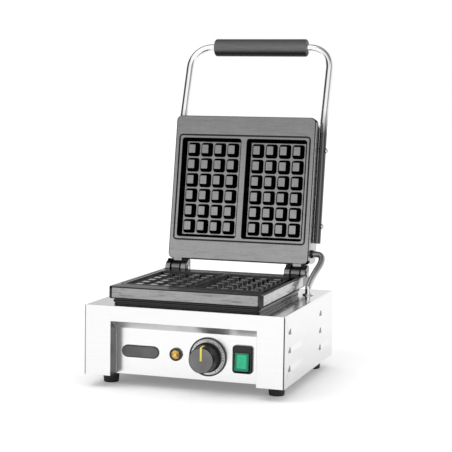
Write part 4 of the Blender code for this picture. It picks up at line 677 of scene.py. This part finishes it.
def mould():
    """One mould about its middle: eased rim, drafted wall, floor and cells. Returns its rim too."""
    corners = [(1.2 * MM, 0), (0, 0), (-MOULD_DRAFT, -MOULD_DEPTH),
               (-MOULD_DRAFT - 0.85 * MM, -MOULD_DEPTH)]
    profile = eased(corners, (0.8 * MM, 1 * MM), 3)
    rows = ring_rows(MOULD_HALF_WIDTH, MOULD_HALF_LENGTH, MOULD_CORNER, profile)
    floor = plane_sheet(rows[-1], at_height(block_border(), -MOULD_DEPTH))
    return gathered(skin(rows), floor, strewn(waffle_cell(), cell_places())), rows[0]


def plate():
    """Whole plate: sides and back, cooking face with its groove, and two moulds."""
    centre = (0, PLATE_CENTRE)
    half = PLATE_SIZE / 2
    rim = -2.2 * MM
    corners = [(rim, 0), (0, 0), (0, -PLATE_THICKNESS), (rim, -PLATE_THICKNESS)]
    sides = ring_rows(half, half, PLATE_CORNER, eased(corners, (PLATE_EDGE, PLATE_EDGE), 3), centre, 8)
    bank = [(1.5 * MM, 0), (1 * MM, 0), (0.75 * MM, -GROOVE_DEPTH)]
    corners = bank + [(-growth, height) for growth, height in reversed(bank)]
    profile = eased(corners, (0.35 * MM, 0.4 * MM, 0.4 * MM, 0.35 * MM), 2)
    groove = ring_rows(MOULD_X + MOULD_HALF_WIDTH + GROOVE_MARGIN, MOULD_HALF_LENGTH + GROOVE_MARGIN,
                       GROOVE_MARGIN, profile, centre)
    one, rim = mould()
    places = [(side * MOULD_X, PLATE_CENTRE, 0) for side in (-1, 1)]
    inside = plane_sheet(groove[-1], *[rim + place for place in places])
    outside = plane_sheet(sides[0], groove[0])
    return gathered(skin(sides, "last"), skin(groove), outside, inside, strewn(one, places))


def lug_outline():
    """Side view of a lug, as (y, z) from the hinge axis; its horn is what the open lid rests on."""
    foot, front = -PLATE_THICKNESS - PARTING, -HINGE_BACK - PLATE_CORNER
    rest = (HINGE_BACK - GAP) / math.cos(LID_LEAN)
    horn = [(y, rest - y * math.tan(LID_LEAN)) for y in (STOP_REACH, STOP_START)]
    crest = round_arc(LUG_RADIUS, 95, 180, 10)
    shoulder = [(-LUG_RADIUS, -PARTING), (front, -PARTING)]
    return np.concatenate([[(front, foot), (STOP_REACH, foot)], horn, crest, shoulder])


def knuckle_outline():
    """Side view of a knuckle, as (y, z) in the lid's upright frame: an eye and a root in the plate.

    The root's front lies behind the plate's cooking face, so that the two don't share a plane.
    """
    back, root = -PLATE_THICKNESS - PARTING, HINGE_BACK + PLATE_CORNER
    rest = [(HINGE_BACK, back), (root, back), (root, -3 * MM),
            (HINGE_BACK + 2.4 * MM, -PARTING - 0.2 * MM), (10.5 * MM, -PARTING)]
    outline = np.concatenate([round_arc(KNUCKLE_RADIUS, 14, 290, 30), rest])
    return np.c_[-outline[:, 1], outline[:, 0]]


def darken_slopes(obj, face_frame, flat, front, right):
    """Painted shade and painted reflection as each face's dark share, from its normal n and centre (x,
    y, z) in the plate's frame.

    With tilt = 1 - |n . z|, a leaning face has clip((tilt - 0.03) / 0.2, 0, 1), times the right share
    if it faces -x. A flat one has the flat share times 0.6 to 2.9, growing towards -x, or times 3 on
    the bar between the moulds, and inside the moulds 0.45 of that. An upright one has 0.95 where it
    turns from x and y, and the front share where it faces y. The groove is near black, and the hinge is
    lighter where it faces front or right.
    """
    world, centres = faces_of(obj.data)
    back = np.array(face_frame.inverted())
    signed = world @ back[:3, :3].T
    normals = np.abs(signed)
    x, y, z = (centres @ back[:3, :3].T + back[:3, 3]).T
    past_x = np.abs(np.abs(x) - MOULD_X) - MOULD_HALF_WIDTH
    past_y = np.abs(y - PLATE_CENTRE) - MOULD_HALF_LENGTH
    tilt = 1 - normals[:, 2]
    upright = tilt >= 0.985

    # Painted reflection on flat faces: darker towards -x and on the bar between the moulds.
    flat_shade = 0.6 + 2.3 * np.clip((PLATE_SIZE / 2 - x) / (120 * MM), 0, 1)
    flat_shade = flat * np.where(np.abs(x) < MOULD_X - MOULD_HALF_WIDTH, 3, flat_shade)
    flat_shade[np.maximum(past_x, past_y) < -2 * MM] *= 0.45
    dark = np.where(tilt < 0.03, flat_shade, np.clip((tilt - 0.03) / 0.2, 0, 1))
    # Painted reflection at the turns of upright faces, and painted shade on the front ones.
    turn = np.clip((1 - normals[:, :2].max(axis=1) - 0.003) / 0.02, 0, 1)
    dark = np.where(upright, np.maximum(0.95 * turn, front * (normals[:, 1] > 0.9)), dark)
    dark[(signed[:, 0] < -0.6) & (tilt > 0.2) & ~upright] *= right

    # Painted shade in the groove.
    past_groove = np.maximum(np.abs(x) - MOULD_X - MOULD_HALF_WIDTH, past_y) - GROOVE_MARGIN
    dark[(np.abs(past_groove) < 1.4 * MM) & (z < -0.02 * MM) & (z > -2 * MM)] = 0.93
    # Painted shade on the hinge, lighter where it faces front or right.
    outward = np.maximum(-world[:, 1], world[:, 0])
    hinge = y < 12.5 * MM
    dark[hinge] = (0.93 - 0.55 * np.clip((outward - 0.75) / 0.2, 0, 1))[hinge]
    set_dark(obj.data, dark)


def make_plates():
    """Lower plate with its four lugs, and upper plate with its two knuckles."""
    whole = plate()
    lugs, eyes = [], []
    for side in (-1, 1):
        for start, width in LUGS:
            low, high = sorted((side * start, side * (start + width)))
            lugs.append(slab_along_x(lug_outline(), low, high, LUG_EDGE))
        middle = side * KNUCKLE_X
        low, high = middle - KNUCKLE_HALF, middle + KNUCKLE_HALF
        eyes.append(slab_along_x(knuckle_outline(), low, high, LUG_EDGE))
    lower = gathered(moved(whole, LOWER_FACE), moved(gathered(*lugs), Matrix.Translation(HINGE)))
    upper = gathered(moved(whole, UPPER_FACE), moved(gathered(*eyes), LID))
    lower = make_piece("lower_waffle_plate", lower, lower_iron, "base", ("lower_plate",))
    darken_slopes(lower, LOWER_FACE, flat=0.3, front=0.3, right=0.7)
    upper = make_piece("upper_waffle_plate", upper, upper_iron, "lid", ("upper_plate",))
    darken_slopes(upper, UPPER_FACE, flat=0, front=0, right=1)


# Handle, hose and turned pieces

def make_handle():
    """Tube bent at four corners, its ends cut square, and the moulded grip round its bar."""
    leg = [(HANDLE_DEPTH, HINGE_BACK + HANDLE_START), (HANDLE_DEPTH, HINGE_BACK + PLATE_SIZE),
           (HANDLE_TOP_DEPTH, HANDLE_TOP)]
    corners = [(-HANDLE_HALF_SPACING, y, z) for y, z in leg]
    corners += [(HANDLE_HALF_SPACING, y, z) for y, z in reversed(leg)]
    radii = (HANDLE_KINK_RADIUS, HANDLE_CORNER_RADIUS, HANDLE_CORNER_RADIUS, HANDLE_KINK_RADIUS)
    path = eased(corners, radii, 14)
    outer, inner = [tube_rows(path, radius, (0, 1, 0)) for radius in (TUBE_RADIUS, TUBE_BORE)]
    shell = skin(np.concatenate([outer, inner[::-1]]), "joined")
    make_piece("bent_handle", moved(shell, LID), chrome, "lid", ("handle_tube",))
    half, bore = GRIP_LENGTH / 2, TUBE_RADIUS + GAP
    corners = [(bore, -half), (GRIP_RADIUS, -half), (GRIP_RADIUS, half), (bore, half)]
    profile = eased(corners, (GRIP_EDGE, GRIP_EDGE), 6)
    grip = turned(profile, 64, facing((1, 0, 0), (0, HANDLE_TOP_DEPTH, HANDLE_TOP)), "joined")
    make_piece("moulded_grip", moved(grip, LID), grip_black, "lid", ("handle_grip",))


def hose_path():
    """Points at even spacing on a Catmull-Rom curve through the hose's knots."""
    start = np.array(LID @ (HOSE_NUT + Vector((GAP, 0, 0))))
    leads = [start + (2 * HOSE_RADIUS * share, 0, 0) for share in (0, 0.5, 1)]
    rises = [HOSE_FOOT + (0, 0, 2 * HOSE_RADIUS * share) for share in (1, 0.5, 0)]
    knots = np.concatenate([leads, HOSE_BENDS + (0, HINGE.y, HINGE.z), rises])
    knots = np.concatenate([[2 * knots[0] - knots[1]], knots, [2 * knots[-1] - knots[-2]]])
    t = np.linspace(0, 1, 24, endpoint=False)[None, :, None]
    p0, p1, p2, p3 = [knots[i:len(knots) - 3 + i, None] for i in range(4)]
    fine = (2 * p1 + (p2 - p0) * t + (2 * p0 - 5 * p1 + 4 * p2 - p3) * t ** 2
            + (3 * p1 - p0 - 3 * p2 + p3) * t ** 3) / 2
    fine = np.concatenate([fine.reshape(-1, 3), knots[-2:-1]])
    travelled = np.concatenate([[0], np.cumsum(np.linalg.norm(np.diff(fine, axis=0), axis=1))])
    even = np.linspace(0, travelled[-1], int(travelled[-1] / HOSE_SPACING) + 1)
    return np.column_stack([np.interp(even, travelled, fine[:, i]) for i in range(3)])


def make_hose():
    """Strip-wound hose: its radius follows a rounded wave that runs round it once for each pitch."""
    path = hose_path()
    along = np.arange(len(path))[:, None] * HOSE_SPACING / RIB_PITCH
    phase = 2 * math.pi * (along + np.arange(HOSE_STEPS)[None, :] / HOSE_STEPS)
    wave = np.clip(0.5 + 0.75 * np.cos(phase), 0, 1)
    radius = HOSE_ROOT + (HOSE_RADIUS - HOSE_ROOT) * wave
    across = (0.35, 0.78, -0.52)
    outer = tube_rows(path, radius, across, HOSE_STEPS)
    inner = tube_rows(path[::8], HOSE_BORE, across, HOSE_STEPS)
    shell = skin(np.concatenate([outer, inner[::-1]]), "joined")
    hose = make_piece("ribbed_hose", shell, hose_metal, None, ("conduit",))
    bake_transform(hose)


def make_hose_fittings():
    """Six-sided nut on the lid's side, and a low collar on the deck."""
    sections = [(5.2, 0.3, 0), (6.3, 0.3, 0), (7, 0.8, 1), (7, 4.6, 1), (6.2, 5.4, 0), (5.2, 5.5, 0)]
    nut = moved(skin(six_sided(sections, 48), "joined"), LID @ facing((1, 0, 0), HOSE_NUT))
    make_piece("hose_lid_nut", nut, dark_zinc, "lid", ("conduit_lid_nut",), 20)
    profile = eased_mm([(5.1, 0), (8.5, 0), (8.5, 1.3), (5.1, 1.9)], (0.1, 0.6), 3)
    collar = turned(profile, 48, standing("conduit_deck_nut"), "joined")
    make_piece("hose_deck_collar", collar, hose_metal, "base", ("conduit_deck_nut",))


def standing(node):
    """Place of an upright piece: the middle of its solid's foot."""
    low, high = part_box(node)
    return Matrix.Translation(((low.x + high.x) / 2, (low.y + high.y) / 2, low.z))


def make_feet():
    """Tapered rubber feet with a socket for the screw."""
    corners = [(5.5, 0), (10.5, 0), (12, 16.7), (2.3, 16.7), (2.3, 8), (5.5, 8)]
    profile = eased_mm(corners, (1, 1, 0.3, 0.3))
    for node in ("foot_front_left", "foot_front_right", "foot_rear_left", "foot_rear_right"):
        foot = turned(profile, 40, standing(node), "joined")
        make_piece(node + "_rubber", foot, rubber, "base", (node,))


def socket_screw(radius, head_radius, head_height, length):
    """Round-headed screw with a six-sided socket, in mm; its head is on +Z from the seat at zero."""
    socket = head_radius * 0.45
    corners = [(head_radius, 0), (head_radius, head_height), (socket, head_height)]
    dome = eased(corners, (head_height * 0.75,))
    sections = [(radius, -length, 0), (radius, 0, 0)] + [(r, h, 0) for r, h in dome[:-1]]
    sections += [(socket, head_height, 1), (socket, head_height * 0.35, 1)]
    return skin(six_sided(sections, 24), "both")


def make_screws():
    """Every screw where its solid is, with its head towards the side given, or else outwards in x."""
    lid_back = LID.to_3x3() @ Vector((0, 1, 0))
    for stem, body, heading, radius, head_radius, head_height in (
        ("foot_screw", "base", (0, 0, -1), 2, 4, 2.4),
        ("rear_panel_screw", "base", (0, 1, 0), 2, 4, 2.4),
        ("plate_bolt", "base", (0, 0, -1), 2.5, 4.5, 3),
        ("cover_bolt", "lid", lid_back, 2.5, 4.5, 3),
        ("handle_screw", "lid", None, 2, 4, 2.4),
    ):
        for number in range(1, 5):
            node = f"{stem}_{number}"
            points = np.array([v.co for v in frame["nodes"][node].data.vertices])
            way = Vector(heading or (math.copysign(1, points[0, 0]), 0, 0)).normalized()
            reach = points @ np.array(way)
            tip = points[reach > reach.max() - 0.05 * MM].mean(0)
            seat = Vector(tip) - way * (head_height * MM)
            shank = np.ptp(reach) / MM - head_height
            shell = socket_screw(radius, head_radius, head_height, shank)
            make_piece(node + "_round_head", moved(shell, facing(way, seat)), zinc, body, (node,), 30)


def make_pins():
    """Hinge pins, each with a head at its outer end."""
    for side, sign in (("left", -1), ("right", 1)):
        low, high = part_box(f"hinge_pin_{side}")
        inner, outer = sorted((abs(low.x), abs(high.x)))
        seat = outer - PIN_HEAD
        corners = [(PIN_RADIUS, inner), (PIN_RADIUS, seat), (PIN_HEAD_RADIUS, seat),
                   (PIN_HEAD_RADIUS, outer), (NEAR_AXIS * MM, outer)]
        profile = eased(corners, (0.1 * MM, 0.2 * MM, 1.2 * MM), 3)
        pin = turned(profile, 32, facing((sign, 0, 0), (0, HINGE.y, HINGE.z)), "both")
        make_piece(f"hinge_pin_{side}_steel", pin, zinc, "base", (f"hinge_pin_{side}",))


# Controls, with local Z out of the panel

def on_panel(node):
    """Frame of a control, with its origin at its solid's middle on the panel."""
    low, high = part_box(node)
    return facing((0, -1, 0), ((low.x + high.x) / 2, high.y, (low.z + high.z) / 2))


def make_lamp():
    """Lamp's black ring and its six-sided jewel."""
    profile = eased_mm([(6.3, 0), (9, 0), (9, 3.7), (7.2, 3.7), (6.3, 3.0)], (0.2, 1.6, 0.4), 5)
    ring = turned(profile, 64, on_panel("lamp_bezel"), "joined")
    make_piece("lamp_surround", ring, lamp_black, "base", ("lamp_bezel",))
    sections = [(6, 0, 0), (6, 3.4, 0), (5.3, 4.6, 1), (2.9, 6.5, 1), (1.3, 7.2, 1)]
    jewel = moved(skin(six_sided(sections, 48), "both"), on_panel("lamp_lens"))
    make_piece("lamp_jewel", jewel, amber, "base", ("lamp_lens",), 12)


def make_dial():
    """Pale ring with a black rim and 31 marks, 10 degrees apart, each fifth one long."""
    place = on_panel("dial_ring")
    corners = [(15, 0.1), (24.6, 0.1), (24.6, 1.6), (24.0, 1.6), (22.5, 1.3), (15, 1.3)]
    ring = turned(eased_mm(corners, (0.1, 0.3, 0.2, 0.5)), 128, place, "joined")
    make_piece("graduated_ring", ring, dial_metal, "base", ("dial_ring",), 25)
    corners = [(24.7, 0), (26.5, 0), (26.5, 2.8), (24.7, 2.8)]
    rim = turned(eased_mm(corners, (0.1, 0.7, 0.7)), 128, place, "joined")
    make_piece("dial_rim", rim, black, "base")
    marks = []
    outer = 23.8 * MM
    for number in range(31):
        start, half = (20.6 * MM, 0.45 * MM) if number % 5 == 0 else (21.8 * MM, 0.3 * MM)
        outline = rounded_ring((outer - start) / 2, half, half * 0.9, ((start + outer) / 2, 0), 2)
        rows = [at_height(outline, height) for height in (1.2 * MM, 1.42 * MM)]
        turn = Matrix.Rotation(math.radians(240 - 10 * number), 4, "Z")
        marks.append(moved(skin(rows, "both"), place @ turn))
    make_piece("dial_graduation", gathered(*marks), marks_black, "base")


def make_knob():
    """Knob's flange and waist, its lighter face and the pointer laid over both."""
    place = facing((0, -1, 0), JOINTS["knob_turn"])
    corners = [(3.3, 17.6), (3.3, 3.6), (20.5, 3.6), (20.5, 8.6), (18.6, 10.1), (17.5, 30.5),
               (15.6, 30.9)]
    body = turned(eased_mm(corners, (0.2, 0.8, 1.2, 1.2, 0.8)), 128, place)
    bore = turned(np.array([(3.3, 17.6), (NEAR_AXIS, 17.6)]) * MM, 32, place)
    make_piece("knob_body", gathered(body, bore), knob_black, "knob", ("thermostat_knob",))
    cap = turned(eased_mm([(17.2, 30.3), (16.2, 31.0), (NEAR_AXIS, 31.0)], (0.5,)), 128, place, "last")
    make_piece("knob_front", cap, knob_face, "knob")
    path = eased_mm([(-0.5, 31.02), (15.9, 31.02), (17.3, 30.5), (18.0, 18.5)], (0.6, 0.4))
    rise = np.gradient(path, axis=0)
    out = unit(np.c_[-rise[:, 1], rise[:, 0]])
    rows = []
    for x, lift in ((-1.35, 0), (-1.35, 0.3), (-1.08, 0.42), (1.08, 0.42), (1.35, 0.3), (1.35, 0)):
        rows.append(np.c_[np.full(len(path), x * MM), path + out * lift * MM])
    pointer = skin(np.swapaxes(rows, 0, 1), "both")
    make_piece("knob_pointer", moved(pointer, place), yellow, "knob")


def paddle(half_x, low, high, lift, back, corner):
    """Rounded panel on the rocker's face, y = -6.6 + (1 - |z - middle| / half)**0.9, in mm."""
    middle, half = -3.6, 12.2
    half_z = (high - low) / 2
    rows = []
    for inset, drop in ((0.3, back), (0, back - 0.3), (0, 0.5), (0.15, 0.15), (0.5, 0)):
        ring = rounded_ring(half_x - inset, half_z - inset, corner - inset, (0, (low + high) / 2))
        share = np.clip(np.abs(ring[:, 1] - middle) / half, 0, 1)
        face = -6.6 + (1 - share) ** 0.9
        rows.append(np.c_[ring[:, 0], face - lift + drop, ring[:, 1]] * MM)
    return skin(rows, "both")


def make_switch():
    """Bezel with its opening low in it, body behind the panel, and rocker with a bright middle."""
    pivot = JOINTS["rocker_tilt"]
    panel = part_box("switch_frame")[0].y + 4.8 * MM
    place = Matrix.Translation((pivot.x, panel, pivot.z)) @ Matrix.Rotation(math.pi / 2, 4, "X")
    profile = eased_mm([(0, 0), (0, 4.5), (-2.2, 4.5)], (1.5,), 5)
    outer = ring_rows(14 * MM, 19 * MM, 4.5 * MM, profile, steps=8)
    profile = eased_mm([(1, 4.5), (0, 4.5), (0, 0.2), (-0.6, 0.2)], (0.7, 0.3))
    inner = ring_rows(10.5 * MM, 12.9 * MM, 2 * MM, profile, (0, -3.6 * MM), 8)
    front = plane_sheet(outer[-1], inner[0])
    bezel = gathered(skin(outer, "first"), front, skin(inner, "last"))
    rows = ring_rows(11.4 * MM, 15.4 * MM, 1 * MM, ((0, -1.4 * MM), (0, -23.8 * MM)), steps=3)
    body = skin(rows, "both")
    make_piece("switch_bezel", moved(gathered(bezel, body), place), black, "base", ("switch_frame",))
    tilted = Matrix.Translation(pivot) @ Matrix.Rotation(-math.radians(7), 4, "X")
    rocker = moved(paddle(9.9, -15.8, 8.6, 0, 4, 1.6), tilted)
    make_piece("rocker_body", rocker, green_dark, "rocker", ("switch_rocker",), 50)
    window = moved(paddle(7, -12.4, 6.4, 0.35, 1.2, 1), tilted)
    make_piece("rocker_middle", window, green, "rocker", (), 50)


def make_name_plate():
    """Bare rounded plate: a dark rim, a thin lighter line inside it and a plain field."""
    place = on_panel("name_plate")
    rim = [(0, 0), (0, 1.1), (-0.3, 1.45), (-1.3, 1.5), (-1.4, 1.3)]
    line = [(-1.35, 1.25), (-1.35, 1.42), (-1.7, 1.42), (-1.7, 1.25)]
    field = [(-1.65, 1.1), (-1.65, 1.33), (-1.9, 1.36)]
    for name, finish, profile, ends, replaced in (
        ("plate_rim", black, rim, "first", ("name_plate",)),
        ("plate_line", border_grey, line, "open", ()),
        ("plate_field", plate_grey, field, "last", ()),
    ):
        rows = ring_rows(27 * MM, 8.5 * MM, 8.2 * MM, np.array(profile) * MM, steps=16)
        make_piece(name, moved(skin(rows, ends), place), finish, "base", replaced)


# The rest of the housing

def shell_shade(normals, centres):
    """Painted shade on the louvres' front tapers and on the side walls' front cuts, most on the right.
    """
    side = np.abs(centres[:, 0]) > HALF_WIDTH - 2 * MM
    taper = side & (normals[:, 1] < -0.12) & (np.abs(normals[:, 0]) > 0.3)
    cut_share = np.where(centres[:, 0] > 0, 0.9, 0.25)
    return np.where(taper, 0.78, np.where(side & (normals[:, 1] < -0.9), cut_share, 0))


def fascia_shade(normals, centres):
    """Painted shade on the returns that face across and the right cut, a little on the left cut, and a
    painted reflection on the slope.
    """
    x, y, z = centres.T
    across = np.abs(normals[:, 0]) > 0.9
    slope = (normals[:, 2] < -0.5) & (y > y.min() + 2 * MM) & (z > 60 * MM)
    shares = np.where(across & (np.abs(x) < 110 * MM), 0.9, np.where(slope, 0.18, 0))
    return np.where(across & (np.abs(x) > 135 * MM), np.where(x > 0, 0.95, 0.2), shares)


def make_skirt():
    """Painted rim under the lower plate: two raised bands with a groove above each.

    A step is a growth in mm and a share of the rim's height.
    """
    low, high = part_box("lower_skirt")
    middle, size = (low + high) / 2, (high - low) / 2
    steps = [(-8, 0), (-2.5, 0), (-2.2, 0.14), (-3.4, 0.2), (-3.4, 0.38), (-1.4, 0.44), (-0.9, 0.72),
             (-2.2, 0.78), (-1.9, 1), (-8, 1)]
    profile = eased([(growth * MM, share * 2 * size.z) for growth, share in steps], [0.3 * MM] * 8, 3)
    rows = ring_rows(size.x, size.y, PLATE_CORNER, profile, (middle.x, middle.y), 8)
    shell = moved(skin(rows, "joined"), Matrix.Translation((0, 0, low.z)))
    make_piece("plate_skirt", shell, skirt_paint, "base", ("lower_skirt",))


def make_gland():
    """Supply inlet: its thread and nut through the rear panel, and a tapered nose."""
    low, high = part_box("cable_gland")
    back = max(v.co.y for v in frame["nodes"]["rear_panel"].data.vertices)
    place = facing((0, 1, 0), ((low.x + high.x) / 2, back, (low.z + high.z) / 2))
    corners = [(4.2, -6.2), (7, -6.2), (7, 0.3), (9, 0.3), (9, 5.3), (8.4, 5.3), (8.4, 6.5), (6.6, 14),
               (4.2, 14)]
    profile = eased_mm(corners, (0.2, 0.1, 0.3, 0.6, 0.1, 0.1, 2.5, 0.8), 3)
    make_piece("supply_gland", turned(profile, 48, place, "joined"), black, "base", ("cable_gland",))


make_plates()
make_handle()
make_hose()
make_hose_fittings()
make_feet()
make_screws()
make_pins()
make_lamp()
make_dial()
make_knob()
make_switch()
make_name_plate()
make_skirt()
make_gland()
eased_copy("housing_shell", steel_y, "base", 0, shading=shell_shade, reshape=flatter_louvres)
eased_copy("front_fascia", fascia_steel, "base", 0.45 * MM, shading=fascia_shade)
for node, finish, body, edge in (
    ("control_panel", steel_x, "base", 0.2 * MM),
    ("rear_panel", steel_x, "base", 0.2 * MM),
    ("bottom_cover", under_shade_steel, "base", 0.2 * MM),
    ("upper_cover", steel_lid, "lid", 0.3 * MM),
):
    eased_copy(node, finish, body, edge)
for node, finish in (
    ("lamp_body", black), ("thermostat_spindle", zinc), ("thermostat_body", black),
    ("thermostat_bulb", zinc), ("terminal_block", glaze), ("lower_heating_element", heater),
    ("upper_heating_element", heater), ("lower_element_clamp", zinc), ("upper_element_clamp", zinc),
    ("upper_insulation", wool),
):
    frame["nodes"][node].data.materials.clear()
    frame["nodes"][node].data.materials.append(finish)


# Studio and camera

# Degrees round the surroundings from +X, and how bright metal sees them there
STRIPS = [(-180, 0.05), (-144, 0.1), (-125, 1), (-48, 1), (-30, 0.3), (-8, 0.3), (10, 0.75), (40, 0.9),
          (52, 0.95), (92, 0.95), (108, 0.68), (122, 0.45), (140, 0.1), (180, 0.05)]
FLOOR_TONE = 0.93
FLOOR_SIZE = 40
MIRRORED_LIFT = 0.09
CAMERA_LIFT = 0.11
SKY_LIGHT = 0.93
KEY_LIGHT = 0.4
KEY_SPREAD = math.radians(40)
KEY_FROM = Vector((-0.42, -0.3, 0.86))

# The camera that fits the photograph, for the part as it was before packing
FILM_WIDTH = 36
FOCAL_SHARE = 1332.004 / 452
CAMERA_PLACE = Vector((0.593482, -1.662103, 0.376350)) + Vector((0, -PART_MIDDLE, FOOT_HEIGHT))
CAMERA_RIGHT = Vector((0.9514953, 0.30729761, 0.01499575))
CAMERA_UP = Vector((-0.04282472, 0.08401823, 0.99554356))
CAMERA_BACK = Vector((0.30466824, -0.94789721, 0.09310289))


def make_floor():
    """White floor that keeps the shadow, lifted by a light of its own but for diffuse rays."""
    white = new_finish("floor_white", None, Base_Color=grey(FLOOR_TONE), Roughness=1.0,
                       Specular_IOR_Level=0.0, Emission_Color=grey(1))
    rays = add_node(white, "LightPath").node.outputs
    steps = {"operation": "MULTIPLY_ADD"}
    mirrored = add_node(white, "Math", steps, _0=rays["Is Diffuse Ray"], _1=-MIRRORED_LIFT,
                        _2=MIRRORED_LIFT)
    lift = add_node(white, "Math", steps, _0=rays["Is Camera Ray"], _1=CAMERA_LIFT, _2=mirrored)
    feed(white, "Emission Strength", lift)
    bpy.ops.mesh.primitive_plane_add(size=FLOOR_SIZE, location=(0, 0, -0.02 * MM))
    floor = bpy.context.object
    floor.name = "studio_floor"
    floor.data.materials.append(white)


def make_surroundings():
    """White to the camera; metal sees the strips, dimmed overhead, and the rest an even light."""
    world = bpy.data.worlds.new("studio")
    SCENE.world = world
    world.use_nodes = True
    place = add_node(world, "TexCoord", out="Generated")
    up = add_node(world, "SeparateXYZ", out=2, Vector=place)
    around = add_node(world, "TexGradient", {"gradient_type": "RADIAL"}, "Fac", Vector=place)
    strips = add_node(world, "ValToRGB", Fac=around)
    ramp = strips.node.color_ramp.elements
    while len(ramp) > 1:
        ramp.remove(ramp[-1])
    ramp[0].position, ramp[0].color = STRIPS[0][0] / 360 + 0.5, grey(STRIPS[0][1])
    for turn, level in STRIPS[1:]:
        ramp.new(turn / 360 + 0.5).color = grey(level)
    top = add_node(world, "MapRange", {"interpolation_type": "SMOOTHSTEP"}, Value=up, From_Min=0.55,
                   From_Max=0.85, To_Min=1.08, To_Max=0.35)
    seen = add_node(world, "Math", {"operation": "MULTIPLY"}, _0=strips, _1=top)
    rays = add_node(world, "LightPath").node.outputs
    number = {"data_type": "FLOAT"}
    lit = add_node(world, "Mix", number, _0=rays["Is Glossy Ray"], _2=SKY_LIGHT, _3=seen)
    white = add_node(world, "Mix", number, _0=rays["Is Camera Ray"], _2=lit, _3=1.0)
    background = world.node_tree.nodes["Background"]
    world.node_tree.links.new(white, background.inputs["Strength"])
    background.inputs["Color"].default_value = grey(1)


def make_key_light():
    """Soft sun from the front left."""
    key = bpy.data.lights.new("key", "SUN")
    key.energy = KEY_LIGHT
    key.angle = KEY_SPREAD
    new_object("key", key).rotation_euler = KEY_FROM.to_track_quat("Z", "Y").to_euler()


def make_camera():
    """Camera at the photograph's viewing angle."""
    data = bpy.data.cameras.new("camera")
    data.sensor_width = FILM_WIDTH
    data.lens = FOCAL_SHARE * FILM_WIDTH
    camera = new_object("camera", data)
    turn = Matrix((CAMERA_RIGHT, CAMERA_UP, CAMERA_BACK)).transposed().to_4x4()
    camera.matrix_world = Matrix.Translation(CAMERA_PLACE) @ turn
    SCENE.camera = camera


make_floor()
make_surroundings()
make_key_light()
make_camera()
SCENE.view_settings.view_transform = "Standard"
